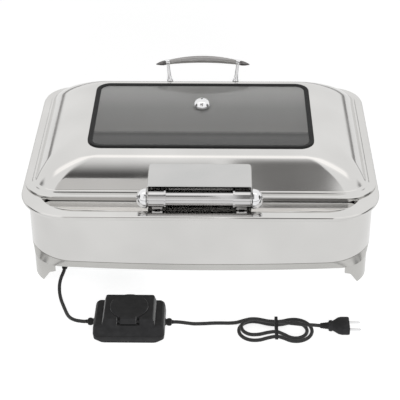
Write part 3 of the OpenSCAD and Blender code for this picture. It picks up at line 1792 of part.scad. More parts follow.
casing();
base_frame();
bottom_plate();
gland_bracket();
bottom_screws();
water_basin();
food_pan();
heating_plate();
heating_element();
element_clamps();
clamp_screws();
thermal_cutout();
terminal_block();
cord_gland();
inner_cable();
heater_leads();
lid_shell();
window_gasket();
window_glass();
steam_vent();
vent_washer();
vent_nut();
handle_grip();
handle_post_left();
handle_post_right();
handle_finials();
handle_screws();
hinge_hood();
hood_rivets();
hinge_axle();
hinge_cap_left();
hinge_cap_right();
hinge_bearing_left();
hinge_bearing_right();
hinge_barrel();
hinge_damper();
bearing_screws();
controller_base();
controller_housing();
controller_screws();
dial_cover();
cover_pin();
temperature_dial();
dial_spindle();
thermostat();
controller_boot_in();
controller_boot_out();
cord_to_controller();
cord_to_hank();
cord_hank();
cord_tie();
plug_boot();
plug_body();
plug_pins();
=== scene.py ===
# %% [markdown]
# # A chafing dish with a hinged lid
# The imported model comes in as a fixed frame: every solid already has its place, in metres, and every
# moving body its joint. This lesson dresses that frame. Sheets that the frame holds with coarse steps are
# drawn again with fine ones, cords become smooth tubes, small parts get their marks, and every surface
# gets a finish. Nothing that follows may grow past it.

from math import acos, asin, atan2, cos, degrees, pi, radians, sin, sqrt

import bmesh
import bpy
from mathutils import Matrix, Vector


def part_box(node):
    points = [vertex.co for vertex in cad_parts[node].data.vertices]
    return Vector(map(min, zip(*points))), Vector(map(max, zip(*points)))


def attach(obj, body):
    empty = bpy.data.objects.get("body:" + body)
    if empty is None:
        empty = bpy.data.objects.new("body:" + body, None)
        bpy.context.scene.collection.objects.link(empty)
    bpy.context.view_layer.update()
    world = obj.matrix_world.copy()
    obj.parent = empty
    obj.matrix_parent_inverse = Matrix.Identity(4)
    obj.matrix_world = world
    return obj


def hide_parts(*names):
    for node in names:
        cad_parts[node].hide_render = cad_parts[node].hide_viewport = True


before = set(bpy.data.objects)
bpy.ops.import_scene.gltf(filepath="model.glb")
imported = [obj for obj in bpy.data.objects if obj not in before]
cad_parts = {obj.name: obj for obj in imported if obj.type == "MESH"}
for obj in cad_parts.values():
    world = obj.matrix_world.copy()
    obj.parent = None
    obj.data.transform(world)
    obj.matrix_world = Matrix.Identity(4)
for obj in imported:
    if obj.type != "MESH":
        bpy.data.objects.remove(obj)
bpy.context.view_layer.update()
MM = 0.001

# %% [markdown]
# ## The camera
# The dish was pictured from the hinge side, from well above and with a long lens, so its edges hardly
# converge. A camera can be aimed with a constraint, but a matrix made of three directions also holds the
# slight roll, and it stays readable: where the lens looks, how far away it stands and how it is turned.

# %% Place the camera
LOOK_AT = Vector((-0.0032, 0.0, 0.0463))
STAND_OFF = 2.3679
LOOK_DOWN = radians(32.5771)
LOOK_ROUND = radians(1.173)
ROLL = radians(-0.3214)

back = Vector((sin(LOOK_ROUND) * cos(LOOK_DOWN), -cos(LOOK_ROUND) * cos(LOOK_DOWN), sin(LOOK_DOWN)))
level = Vector((cos(LOOK_ROUND), sin(LOOK_ROUND), 0.0))
upright = back.cross(level)
right = level * cos(ROLL) + upright * sin(ROLL)
above = upright * cos(ROLL) - level * sin(ROLL)

LENS_MM, SENSOR_MM = 114.84, 36.0
camera_data = bpy.data.cameras.new("camera")
camera_data.lens = LENS_MM
camera_data.sensor_width = SENSOR_MM
camera = bpy.data.objects.new("camera", camera_data)
camera.matrix_world = (Matrix.Translation(LOOK_AT + back * STAND_OFF)
                       @ Matrix((right, above, back)).transposed().to_4x4())
bpy.context.collection.objects.link(camera)
bpy.context.scene.camera = camera
print("camera at", [round(c, 3) for c in camera.location])

# %% [markdown]
# ## How a finish is put together
# Every finish here is one shader with patterns wired into it. Numbers that are the same all over sit on
# the shader's own sockets. What varies, such as smudges, brushing and grain, comes from noise on the
# piece's own coordinates, so it stays on the piece when the lid swings. A few helpers keep each finish to
# some lines.

# %% Helpers for finishes
PATTERN_LOW, PATTERN_HIGH = 0.32, 0.68
EVEN = (1.0, 1.0, 1.0)


def tone(code):
    """Linear colour of a six-digit screen colour."""
    parts = [int(code[i:i + 2], 16) / 255 for i in (0, 2, 4)]
    return tuple(p / 12.92 if p <= 0.04045 else ((p + 0.055) / 1.055) ** 2.4 for p in parts) + (1.0,)


def add_node(tree, kind, values=None, **settings):
    made = tree.nodes.new(kind)
    for key, value in settings.items():
        setattr(made, key, value)
    for socket, value in (values or {}).items():
        made.inputs[socket].default_value = value
    return made


def join(tree, *links):
    """Links, each given as a node, its output, the next node and its input."""
    for source, output, target, entry in links:
        tree.links.new(source.outputs[output], target.inputs[entry])


def new_finish(name, values):
    """A material, its tree and its shader, with the plain values set on the shader."""
    finish = bpy.data.materials.new(name)
    finish.use_nodes = True
    shader = finish.node_tree.nodes["Principled BSDF"]
    for socket, value in values.items():
        shader.inputs[socket].default_value = value
    return finish, finish.node_tree, shader


def grain(tree, scale, stretch=EVEN, detail=3.0):
    """Noise on the piece's own coordinates; a small stretch draws it out along that axis."""
    place = add_node(tree, "ShaderNodeTexCoord")
    mapping = add_node(tree, "ShaderNodeMapping", {"Scale": stretch})
    noise = add_node(tree, "ShaderNodeTexNoise", {"Scale": scale, "Detail": detail})
    join(tree, (place, "Object", mapping, "Vector"), (mapping, "Vector", noise, "Vector"))
    return noise, "Fac"


def ramp_of(tree, stops):
    """A colour ramp with a stop for every position and colour."""
    ramp = add_node(tree, "ShaderNodeValToRGB")
    while len(ramp.color_ramp.elements) < len(stops):
        ramp.color_ramp.elements.new(0.5)
    for stop, (position, code) in zip(ramp.color_ramp.elements, stops):
        stop.position = position
        stop.color = tone(code)
    return ramp


def tint(tree, shader, pattern, dark, light):
    """The pattern's low and high parts in two colours."""
    ramp = ramp_of(tree, [(PATTERN_LOW, dark), (PATTERN_HIGH, light)])
    join(tree, (*pattern, ramp, "Fac"), (ramp, "Color", shader, "Base Color"))


def gloss(tree, shader, pattern, low, high):
    """Roughness that runs between two values with the pattern."""
    span = add_node(tree, "ShaderNodeMapRange", {
        "From Min": PATTERN_LOW, "From Max": PATTERN_HIGH, "To Min": low, "To Max": high})
    join(tree, (*pattern, span, "Value"), (span, "Result", shader, "Roughness"))


def relief(tree, shader, pattern, depth_mm, strength):
    """Fine relief of the given depth."""
    bump = add_node(tree, "ShaderNodeBump", {"Strength": strength, "Distance": depth_mm * MM})
    join(tree, (*pattern, bump, "Height"), (bump, "Normal", shader, "Normal"))


def coat(name, values, colour, shine, fine=None):
    """A finish of two or three patterns; each row holds its two values, then its grain's sizes."""
    finish, tree, shader = new_finish(name, values)
    for lay, row in ((tint, colour), (gloss, shine), (relief, fine)):
        if row:
            lay(tree, shader, grain(tree, *row[2:]), *row[:2])
    return finish


print("finish helpers ready")

# %% [markdown]
# ## Cord sheath
# The cord has a plain black vinyl sheath: dark, a little glossy, and never quite even, because the wires
# inside show through as a faint ripple along it. The ripple needs to follow the cord however it bends, so
# it reads the distance along the cord, which the tube stores as an attribute of its own.

# %% Cord finish
RIPPLE_RATE = 620.0
black_sheath, tree, shader = new_finish("black_sheath", {"Roughness": 0.46, "Specular IOR Level": 0.45})
tint(tree, shader, grain(tree, 240.0), "141414", "242424")
distance_along = add_node(tree, "ShaderNodeAttribute", attribute_name="along")
ripple = add_node(tree, "ShaderNodeMath", {1: RIPPLE_RATE}, operation="MULTIPLY")
wave = add_node(tree, "ShaderNodeMath", operation="SINE")
join(tree, (distance_along, "Fac", ripple, 0), (ripple, 0, wave, 0))
relief(tree, shader, (wave, 0), 0.05, 0.5)
print("finish:", black_sheath.name)

# %% [markdown]
# ## A tube that follows a path
# A cord could be a curve with a bevel, but a Geometry Nodes tree does the same and can note the distance
# along the way for the sheath. The tree takes a curve, gives it a round section and a finish, and its
# sizes are named inputs. The result is turned into a plain mesh, because the export knows no live curves.

# %% Tube tree
def socket_id(tree, name):
    """Identifier of a tree's input, which is how a modifier knows it."""
    return next(s.identifier for s in tree.interface.items_tree if s.name == name and s.in_out == "INPUT")


def new_tree(name, inputs):
    """A Geometry Nodes tree with geometry in and out and the named inputs."""
    tree = bpy.data.node_groups.new(name, "GeometryNodeTree")
    tree.interface.new_socket("Geometry", in_out="INPUT", socket_type="NodeSocketGeometry")
    for label, kind in inputs.items():
        tree.interface.new_socket(label, in_out="INPUT", socket_type=kind)
    tree.interface.new_socket("Geometry", in_out="OUTPUT", socket_type="NodeSocketGeometry")
    return tree, add_node(tree, "NodeGroupInput"), add_node(tree, "NodeGroupOutput")


def flow(tree, *nodes):
    """Leads geometry from node to node, out of and into the first socket of each."""
    for source, target in zip(nodes, nodes[1:]):
        tree.links.new(source.outputs[0], target.inputs[0])


tube_tree, start, end = new_tree("tube_along_path", {
    "Thickness": "NodeSocketFloat", "Sides": "NodeSocketInt", "Finish": "NodeSocketMaterial"})
measure = add_node(tube_tree, "GeometryNodeSplineParameter")
note = add_node(tube_tree, "GeometryNodeStoreNamedAttribute", {"Name": "along"},
                data_type="FLOAT", domain="POINT")
half = add_node(tube_tree, "ShaderNodeMath", {1: 0.5}, operation="MULTIPLY")
section = add_node(tube_tree, "GeometryNodeCurvePrimitiveCircle")
sweep = add_node(tube_tree, "GeometryNodeCurveToMesh", {"Fill Caps": True})
soften = add_node(tube_tree, "GeometryNodeSetShadeSmooth")
realize = add_node(tube_tree, "GeometryNodeRealizeInstances")
paint = add_node(tube_tree, "GeometryNodeSetMaterial")
join(tube_tree, (start, "Thickness", half, 0), (half, 0, section, "Radius"),
     (start, "Sides", section, "Resolution"), (section, "Curve", sweep, "Profile Curve"),
     (measure, "Length", note, "Value"), (start, "Finish", paint, "Material"))
flow(tube_tree, start, note, sweep, soften, realize, paint, end)
print("tree:", tube_tree.name, "with", len(tube_tree.nodes), "nodes")


# %% Path and tube helpers
def smooth_path(points, step=2.0):
    """The points, in mm, joined by a smooth curve that passes through each of them."""
    knots = [Vector(p) for p in points]
    path = []
    for i in range(len(knots) - 1):
        a, b, c, d = knots[max(i - 1, 0)], knots[i], knots[i + 1], knots[min(i + 2, len(knots) - 1)]
        count = max(1, round((c - b).length / step))
        for j in range(count):
            t = j / count
            path.append(0.5 * ((2 * b) + (c - a) * t + (2 * a - 5 * b + 4 * c - d) * t ** 2
                               + (3 * b - a - 3 * c + d) * t ** 3))
    path.append(knots[-1])
    return [p * MM for p in path]


def plain_piece(name, mesh):
    piece = bpy.data.objects.new(name, mesh)
    bpy.context.collection.objects.link(piece)
    return piece


def bake(source, name):
    """The evaluated object as a plain mesh piece; the source goes."""
    graph = bpy.context.evaluated_depsgraph_get()
    mesh = bpy.data.meshes.new_from_object(source.evaluated_get(graph), depsgraph=graph)
    bpy.data.objects.remove(source)
    mesh.name = name
    return plain_piece(name, mesh)


def dress(source, tree, values):
    """Adds the tree to the object and sets its inputs by identifier."""
    modifier = source.modifiers.new(tree.name, "NODES")
    modifier.node_group = tree
    for label, value in values.items():
        modifier[socket_id(tree, label)] = value


def tube(name, paths, thickness_mm, finish, sides=16):
    """One mesh of round tubes along the paths."""
    curve = bpy.data.curves.new(name + "_path", "CURVE")
    curve.dimensions = "3D"
    for path in paths:
        spline = curve.splines.new("POLY")
        spline.points.add(len(path) - 1)
        for point, place in zip(spline.points, path):
            point.co = (*place, 1.0)
    line = plain_piece(name + "_line", curve)
    dress(line, tube_tree, {"Thickness": thickness_mm * MM, "Sides": sides, "Finish": finish})
    return bake(line, name)


def settle(piece, body, slot, *nodes):
    """What every new piece tells the frame: the body it rides and the nodes it stands for; slot is not used.
    """
    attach(piece, body)
    if nodes:
        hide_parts(*nodes)
    print(piece.name, "on", body, "with", len(piece.data.polygons), "faces")


# %% [markdown]
# ## Cord from the dish to the controller
# It leaves a gland under the hinge side, drops to the table and runs into the controller's boot. Its route
# is a list of given places, and a smooth curve through them gives the tube its path.

# %% Cord to the controller
CORD_D = 6.0
REST_Z = 3.2

to_controller = smooth_path([
    (-235, -196, 30.5), (-235, -203, 30.5), (-236.4, -211.5, 29.3), (-239, -219.9, 25.5),
    (-240.7, -228.2, 19.3), (-240.5, -237.2, 13), (-238.6, -246.5, 7.9), (-235.6, -255.8, 4.6),
    (-232.2, -265, 3.3), (-228.7, -274.5, REST_Z), (-225.2, -284, 3.4), (-221.7, -293.5, 4.6),
    (-217.9, -302.8, 7), (-212.3, -312, 9.8), (-204, -319.8, 12.2), (-192.3, -323.5, 13),
    (-186.3, -323.5, 13)])
dish_cord = tube("dish_cord", [to_controller], CORD_D, black_sheath)
settle(dish_cord, "base", "black_cord", "cord_to_controller")

# %% [markdown]
# ## The hank
# The rest of the cord is wound in long flat loops, tied at a narrow waist. Its turns follow a rule,
# so a function works them out: round one fold, across the waist, round the other fold, each turn a step
# further in, and then back out one layer higher. The ends ease into the straight cord and into the plug.

# %% Turns of the hank
HANK_AT = Vector((128.5, -332.0, 0.0))
FOLD_R, WAIST_R = 31.0, 21.5
LEFT_L, RIGHT_L = 37.0, 30.0
TURN_STEP, LAYER_H = 8.2, 6.7
LIFT_H, LIFT_L = 1.6, 25.0
TURNS, REVERSE_AT, RINGS = 2, 1.5, 24
STRAIGHT_SHARE = 0.11
PLUG_Z, PLUG_DY = 8.7, 7.0


def mix(a, b, share):
    return a + (b - a) * share


def ease(u):
    return (1 - cos(pi * max(0.0, min(1.0, u)))) / 2


def raised(x):
    """Height that the tie lifts the turns by, near the waist."""
    return LIFT_H * (1 - ease(abs(x) / LIFT_L))


def half_width(x, fold, waist):
    return mix(waist, fold, ease(-x / LEFT_L if x < 0 else x / RIGHT_L))


def turn_place(q, fold, waist):
    """Place on one turn, q running from 0 to 1 round it."""
    a = STRAIGHT_SHARE
    if q < a or 0.5 - a <= q < 0.5:
        x = RIGHT_L * (q if q < a else 0.5 - q) / a
        return x, half_width(x, fold, waist) * (1 if q < a else -1)
    if q < 0.5 - a:
        turn = radians(90 - 180 * (q - a) / (0.5 - 2 * a))
        return RIGHT_L + fold * cos(turn), fold * sin(turn)
    if q < 0.5 + a or q >= 1 - a:
        x = -LEFT_L * (q - 0.5 if q < 0.5 + a else 1 - q) / a
        return x, half_width(x, fold, waist) * (-1 if q < 0.5 + a else 1)
    turn = radians(270 - 180 * (q - 0.5 - a) / (0.5 - 2 * a))
    return -LEFT_L + fold * cos(turn), fold * sin(turn)


def hank_place(t):
    inward = t if t < REVERSE_AT else 2 * REVERSE_AT - t
    x, y = turn_place(t % 1, FOLD_R - TURN_STEP * inward, WAIST_R - TURN_STEP * inward)
    climb = LAYER_H * ease((t - REVERSE_AT + STRAIGHT_SHARE) / (2 * STRAIGHT_SHARE))
    return x, y, REST_Z + climb + raised(x)


LEAD_DROP, LEAD_L, OUT_L, PLUG_L = 12, 38, 60, 12
lead_in = [(x, half_width(x, FOLD_R, WAIST_R) - LEAD_DROP * ease((-x - LEFT_L) / LEAD_L), REST_Z + raised(x))
           for x in (-84, -78, -66, -54, -42, -30, -20, -10)]
wound = [hank_place(i / RINGS) for i in range(TURNS * RINGS + 1)]
END_Y = WAIST_R - TURN_STEP * (2 * REVERSE_AT - TURNS)
lead_out = [(x, mix(END_Y, PLUG_DY, ease(x / OUT_L)),
             mix(REST_Z + LAYER_H + raised(x), PLUG_Z, ease((x - OUT_L) / PLUG_L)))
            for x in (10, 20, 30, 42, 52, 60, 66, 72, 78)]
hank_points = [tuple(HANK_AT + Vector(p)) for p in lead_in + wound + lead_out]
print("hank places:", len(hank_points))

# %% [markdown]
# ## Cord from the controller to the plug
# This stretch and the hank are one length of cord, so they are one tube. The tie and the plug's pieces are
# solids of the frame.

# %% Cord with the hank
to_hank = [(-41.7, -323.5, 13), (-35.7, -323.5, 13), (-27, -322.8, 11.6), (-17.5, -320.9, 8.6),
           (-8, -318.5, 5.6), (2, -316, 3.8), (12, -314.5, REST_Z), (22, -313.5, REST_Z),
           (31, -313.1, REST_Z), (38.5, -313, REST_Z)]
plug_path = smooth_path(to_hank + hank_points)
plug_cord = tube("plug_cord", [plug_path], CORD_D, black_sheath)
settle(plug_cord, "base", "black_cord", "cord_to_hank", "cord_hank")

# %% [markdown]
# ## Polished steel
# The casing, the lid and the pans are drawn from stainless sheet and polished, but not to a mirror: large
# faces carry soft smudges and very fine polishing marks, so reflections are a little blurred and uneven.
# The marks are noise drawn out along the dish, and a broad noise moves the roughness.

# %% Steel finishes
METAL = {"Metallic": 1.0}
POLISHING_MARKS = (0.01, 0.35, 900.0, (0.04, 1.0, 1.0), 2.0)
polished_steel = coat("polished_steel", METAL, ("d3d2d0", "dad9d7", 9.0, EVEN, 2.0),
                      (0.07, 0.12, 14.0, EVEN, 5.0), POLISHING_MARKS)
# The base band gets a darker copy of the polished steel: painted shade, as the band leans down over the floor
# close to the dish.
band_steel_painted_shade = coat("band_steel_painted_shade", METAL, ("bebdba", "c8c7c4", 9.0, EVEN, 2.0),
                  (0.14, 0.22, 14.0, EVEN, 5.0), POLISHING_MARKS)
pan_steel = coat("pan_steel", METAL, ("b9b8b5", "cccbc8", 22.0), (0.24, 0.36, 60.0, (0.1, 1.0, 1.0)),
                 (0.02, 0.4, 700.0, (0.03, 1.0, 1.0), 2.0))
print("finishes:", polished_steel.name, band_steel_painted_shade.name, pan_steel.name)

# %% [markdown]
# ## Outlines and lofts
# Every sheet of this dish is a stack of rounded outlines: go round at one height, step in or out, go round
# again. That is a loft, and mesh code makes it exactly. The outlines take the same radii as the frame's
# solids but finer steps, and Solidify gives the sheet its thickness on the inner side.

# %% Loft helpers
CORNER_STEPS = 24


def full(value, power):
    """A sine or cosine bent so that a corner fills out; power 2 keeps it round."""
    return (abs(value) ** (2 / power)) * (1 if value > 0 else -1)


def rounded(hx, y0, y1, front_r, back_r, power=2.0):
    """Rounded outline in mm, counter-clockwise from the hinge side's right corner."""
    corners = ((hx - front_r, y0 + front_r, front_r, 270), (hx - back_r, y1 - back_r, back_r, 0),
               (back_r - hx, y1 - back_r, back_r, 90), (front_r - hx, y0 + front_r, front_r, 180))
    points = []
    for cx, cy, r, first in corners:
        for i in range(CORNER_STEPS + 1):
            a = radians(first + 90 * i / CORNER_STEPS)
            points.append((cx + r * full(cos(a), power), cy + r * full(sin(a), power)))
    return points


def arc(cx, cz, r, first, last, steps):
    """Points of a section's arc, in degrees."""
    turns = [radians(mix(first, last, i / steps)) for i in range(steps + 1)]
    return [(cx + r * cos(a), cz + r * sin(a)) for a in turns]


def round_line(r, sides):
    """Points of a full circle."""
    return [(r * cos(2 * pi * i / sides), r * sin(2 * pi * i / sides)) for i in range(sides)]


def lifted(points, z):
    return [(x, y, z) for x, y in points]


def add_loft(mesh, rings, closed=False, floor=False):
    """Adds rings of equal counts to a bmesh as one skin; rings that go up the outside face outwards."""
    loops = [[mesh.verts.new(Vector(p) * MM) for p in ring] for ring in rings]
    count = len(loops[0])
    pairs = list(zip(loops, loops[1:])) + ([(loops[-1], loops[0])] if closed else [])
    for low, high in pairs:
        for j in range(count):
            k = (j + 1) % count
            mesh.faces.new((low[j], low[k], high[k], high[j]))
    if floor:
        mesh.faces.new(loops[-1])
    return loops


def sheet_piece(name, mesh, thickness, finish, crease=32.0):
    """The bmesh as a piece: sheet thickness on the inner side, smooth faces and creases where it folds."""
    data = bpy.data.meshes.new(name + "_sheet")
    mesh.to_mesh(data)
    mesh.free()
    data.materials.append(finish)
    piece = plain_piece(name + "_sheet", data)
    if thickness:
        wall = piece.modifiers.new("sheet", "SOLIDIFY")
        wall.thickness = thickness * MM
        wall.offset = -1.0
        wall.use_even_offset = True
    piece = bake(piece, name)
    piece.data.shade_smooth()
    piece.data.set_sharp_from_angle(angle=radians(crease))
    return piece


def loft_piece(name, rings, thickness, finish, **how):
    """A piece that is one loft."""
    mesh = bmesh.new()
    add_loft(mesh, rings, **how)
    return sheet_piece(name, mesh, thickness, finish)


print("loft helpers ready")

# %% [markdown]
# ## The lid
# The lid takes the most skill: one drawn sheet that rises from a lip over a flat border and a small step
# into a full dome with a soft shoulder, and stops at the window. Its section is drawn once, as an inset
# and a height. Every point of the dome is named by its slope: a small shoulder arc near the window runs
# over into a wide arc down to the foot, so mirror images slide over it without a break. At the sides one
# single arc does the same and runs in further, and the corners get wider and fuller higher up, as drawn
# steel does. On the hinge side the lip hangs lower, into the tray.

# %% Lid section
LID_HX, LID_Y0, LID_Y1, LID_R = 303.0, -174.0, 228.5, 56.0
LID_CY = (LID_Y0 + LID_Y1) / 2
LIP_Z, FLANGE_Z, DOME_Z, LID_EDGE_R = 159.8, 163.0, 164.5, 1.8
BORDER_W, STEP_H = 12.0, 1.5
DOME_RISE, DOME_FOOT_R, DOME_ANGLE = 47.0, 4.0, 54.0
SHOULDER_R, SHOULDER_ANGLE = 36.6, 35.0
TOP_INSET, TOP_SIDE_INSET = 78.467, 100.5
TOP_R, CORNER_SWELL, CORNER_FULL = 34.0, 18.0, 0.5
WINDOW_HX, WINDOW_HY, WINDOW_R, GASKET_GRIP = 197.5, 118.0, 26.0, 6.5
LID_T = 1.0
SIN_S, COS_S = sin(radians(SHOULDER_ANGLE)), cos(radians(SHOULDER_ANGLE))
SIN_D, COS_D = sin(radians(DOME_ANGLE)), cos(radians(DOME_ANGLE))
DOME_WALL_R = (DOME_RISE - SHOULDER_R * (1 - COS_S) - DOME_FOOT_R * (1 - COS_D)) / (COS_S - COS_D)
DOME_INSET = TOP_INSET - SHOULDER_R * SIN_S - DOME_WALL_R * (SIN_D - SIN_S) - DOME_FOOT_R * SIN_D


def dome_place(slope):
    """Inset and rise of the dome's point with the given slope in degrees."""
    s, c = sin(radians(slope)), cos(radians(slope))
    if slope <= SHOULDER_ANGLE:
        return TOP_INSET - SHOULDER_R * s, DOME_RISE - SHOULDER_R * (1 - c)
    return (TOP_INSET - SHOULDER_R * SIN_S - DOME_WALL_R * (s - SIN_S),
            DOME_RISE - SHOULDER_R * (1 - COS_S) - DOME_WALL_R * (COS_S - c))


STEP_LEAD, STEP_TAIL, STEP_ROUND = 0.6, 0.4, 0.06
EDGE_STEPS, FILLET_STEPS, DOME_STEPS = 6, 8, 16
border_rows = [(0.0, LIP_Z), (0.0, FLANGE_Z - LID_EDGE_R)]
border_rows += [(LID_EDGE_R - x, z)
                for x, z in arc(0, FLANGE_Z - LID_EDGE_R, LID_EDGE_R, 0, 90, EDGE_STEPS)[1:]]
border_rows += [(BORDER_W - STEP_LEAD, FLANGE_Z), (BORDER_W, FLANGE_Z + STEP_ROUND),
                (BORDER_W + STEP_H, DOME_Z - STEP_ROUND), (BORDER_W + STEP_H + STEP_TAIL, DOME_Z)]
fillet_rows = [(DOME_INSET + x, DOME_FOOT_R + z)
               for x, z in arc(0, 0, DOME_FOOT_R, -90, DOME_ANGLE - 90, FILLET_STEPS)[:-1]]
dome_rows = [dome_place(mix(DOME_ANGLE, SHOULDER_ANGLE, i / DOME_STEPS)) for i in range(DOME_STEPS)]
dome_rows += [dome_place(mix(SHOULDER_ANGLE, 0.0, i / DOME_STEPS)) for i in range(DOME_STEPS + 1)]
FOOT_IN, FOOT_RISE = dome_rows[0]
SIDE_LEAN = 2 * atan2(DOME_RISE - FOOT_RISE, TOP_SIDE_INSET - FOOT_IN)
SIDE_R = (TOP_SIDE_INSET - FOOT_IN) / sin(SIDE_LEAN)
print("dome foot", round(DOME_INSET, 2), "mm in from the edge, wall radius", round(DOME_WALL_R, 1))


def side_inset(inset, rise):
    """The walls at the sides are one arc, from the end of the foot's fillet to the top."""
    if rise <= FOOT_RISE:
        return inset
    c = min(1.0, (rise - FOOT_RISE) / SIDE_R + cos(SIDE_LEAN))
    return FOOT_IN + SIDE_R * (sin(SIDE_LEAN) - sqrt(1 - c * c))


def lid_ring(inset, side, z, corner_r, power=2.0):
    return lifted(rounded(LID_HX - side, LID_Y0 + inset, LID_Y1 - inset, corner_r, corner_r, power), z)


def dome_ring(inset, rise):
    share = (inset - DOME_INSET) / (TOP_INSET - DOME_INSET)
    bulge = sin(pi * share * share)
    corner_r = mix(LID_R - DOME_INSET, TOP_R, share) + CORNER_SWELL * bulge
    return lid_ring(inset, side_inset(inset, rise), DOME_Z + rise, corner_r, 2.0 + CORNER_FULL * bulge)


# %% Lid loft
LIP_DROP, LIP_END_X, LIP_FADE = 4.4, 268.0, 16.0


def about_lid(hx, hy, r):
    """Rounded outline about the lid's middle."""
    return rounded(hx, LID_CY - hy, LID_CY + hy, r, r)


def window_outline(inset):
    return about_lid(WINDOW_HX - inset, WINDOW_HY - inset, WINDOW_R - inset)


lid_rings = [lid_ring(inset, inset, z, LID_R - inset) for inset, z in border_rows]
lid_rings[0] = [(x, y, z - LIP_DROP * ease((LIP_END_X - abs(x)) / LIP_FADE) if y < LID_CY else z)
                for x, y, z in lid_rings[0]]
lid_rings += [dome_ring(inset, rise) for inset, rise in fillet_rows + dome_rows]
lid_rings.append(lifted(window_outline(GASKET_GRIP), DOME_Z + DOME_RISE))
lid_sheet = loft_piece("lid_sheet", lid_rings, LID_T, polished_steel)
settle(lid_sheet, "lid", "polished_steel", "lid_shell")

# %% [markdown]
# ## The casing
# The deck is one sheet: its edge rolls over into a bead, and on the hinge side it drops into a shallow
# tray for the hinge. A deck with two openings can't be a stack of outlines, so the bead and the tray are
# lofted and the flat part between them is filled as a face with holes. The wall below bows outwards a
# little, which is what gives the long side its soft bulge.

# %% Casing outlines
RIM_HX, RIM_HY, RIM_FRONT_R, RIM_BACK_R = 306.0, 231.5, 85.0, 57.0
BEAD_R, RIM_FLAT, SHEET = 4.0, 12.0, 1.2
DECK_Z, LEDGE_Z, WALL_Z, BAND_TOP = 159.5, 154.5, 53.1, 51.9
LEDGE_BORDER, LEDGE_HALF_L, LEDGE_R, LEDGE_BACK_Y = 18.5, 275.0, 65.0, -168.0
WALL_HX, WALL_HY, WALL_R, SIDE_BOW, LONG_BOW = 296.0, 201.0, 78.0, 4.0, 13.0
BASE_NARROW, BASE_R = 6.5, 50.0
SIDE_STEPS = 12


def rim_outline(inset):
    return rounded(RIM_HX - inset, inset - RIM_HY, RIM_HY - inset, RIM_FRONT_R - inset, RIM_BACK_R - inset)


def bowed_outline(hx, hy, r):
    """Rounded outline whose sides bulge, most at their middles."""
    corners = rounded(hx, -hy, hy, r, r)
    points = []
    for i, (x, y) in enumerate(corners):
        points.append((x, y))
        if i % (CORNER_STEPS + 1) == CORNER_STEPS:
            nx, ny = corners[(i + 1) % len(corners)]
            shares = [j / SIDE_STEPS for j in range(1, SIDE_STEPS)]
            points += [(mix(x, nx, share), mix(y, ny, share)) for share in shares]
    return [(x * (1 + SIDE_BOW / hx * (1 - (y / hy) ** 2)), y * (1 + LONG_BOW / hy * (1 - (x / hx) ** 2)))
            for x, y in points]


def wall_outline(inset):
    return bowed_outline(WALL_HX - inset, WALL_HY - inset, WALL_R - inset)


def base_outline(inset):
    return bowed_outline(WALL_HX - BASE_NARROW - inset, WALL_HY - inset, BASE_R - inset)


def ledge_outline(inset):
    """The tray: round at its two front corners, straight along the back, under the lid."""
    r = LEDGE_R - inset
    cx, cy = LEDGE_HALF_L - inset - r, LEDGE_BORDER + inset - RIM_HY + r
    last = degrees(asin((LEDGE_BACK_Y - inset - cy) / r))
    return arc(cx, cy, r, -90, last, CORNER_STEPS) + arc(-cx, cy, r, 180 - last, 270, CORNER_STEPS)


# %% Casing sheets
BASIN_HX, BASIN_HY, BASIN_R = 256.3, 153.8, 47.3
TRAY_ROLL, TRAY_FOOT, WALL_EDGE = 0.9, 1.6, 2.0
BEAD_STEPS, SAME_HEIGHT = 16, 1e-7

casing_mesh = bmesh.new()
bead_rows = arc(BEAD_R, DECK_Z - BEAD_R, BEAD_R, 270, 90, BEAD_STEPS) + [(RIM_FLAT, DECK_Z)]
rim_loops = add_loft(casing_mesh, [lifted(rim_outline(inset), z) for inset, z in bead_rows])
quarter = [radians(a) for a in (0, 30, 60, 90)]
tray_rows = [(SHEET - TRAY_ROLL + TRAY_ROLL * sin(a), DECK_Z - TRAY_ROLL * (1 - cos(a))) for a in quarter]
tray_rows += [(SHEET + TRAY_FOOT * (1 - cos(a)), LEDGE_Z + TRAY_FOOT * (1 - sin(a))) for a in quarter]
tray_loops = add_loft(casing_mesh, [lifted(ledge_outline(inset), z) for inset, z in tray_rows], floor=True)
basin_line = lifted(about_lid(BASIN_HX, BASIN_HY, BASIN_R), DECK_Z)
basin_hole = [casing_mesh.verts.new(Vector(p) * MM) for p in basin_line]
for loop in (rim_loops[-1], tray_loops[0], basin_hole):
    for a, b in zip(loop, loop[1:] + loop[:1]):
        if not casing_mesh.edges.get((a, b)):
            casing_mesh.edges.new((a, b))
open_edges = [e for e in casing_mesh.edges if len(e.link_faces) < 2
              and all(abs(v.co.z - DECK_Z * MM) < SAME_HEIGHT for v in e.verts)]
filled = bmesh.ops.triangle_fill(casing_mesh, edges=open_edges, use_beauty=True, normal=(0, 0, 1))
deck_faces = [f for f in filled["geom"] if isinstance(f, bmesh.types.BMFace)]
wall_heights = (WALL_Z, WALL_Z + WALL_EDGE, DECK_Z - SHEET - WALL_EDGE, DECK_Z - SHEET)
add_loft(casing_mesh, [lifted(wall_outline(0), z) for z in wall_heights])
print("deck faces:", len(deck_faces))
casing_sheet = sheet_piece("casing_sheet", casing_mesh, SHEET, polished_steel)
settle(casing_sheet, "base", "polished_steel", "casing")

# %% [markdown]
# ## The base frame and its feet
# A separate band closes the casing at the bottom, with a narrow recessed seam between the two, and its
# four corners are drawn down to pointed feet. The band is a closed loft. A foot is a strip of the same
# curved corner whose lower edge follows a short outline, so the strip is walked in small steps and each
# step asks that outline how far down it reaches.

# %% Base band
FOOT_H, FRAME_T, FOOT_T, SEAM_DEPTH, FLANGE_W = 39.5, 1.6, 2.0, 0.7, 14.0
UPSTAND_OUT, UPSTAND_IN, UPSTAND_TOP = 1.25, 2.85, 63.0
BASE_HX = WALL_HX - BASE_NARROW
EDGE_ROUND = ((0.5, 0.0), (0.15, 0.15), (0.0, 0.5))

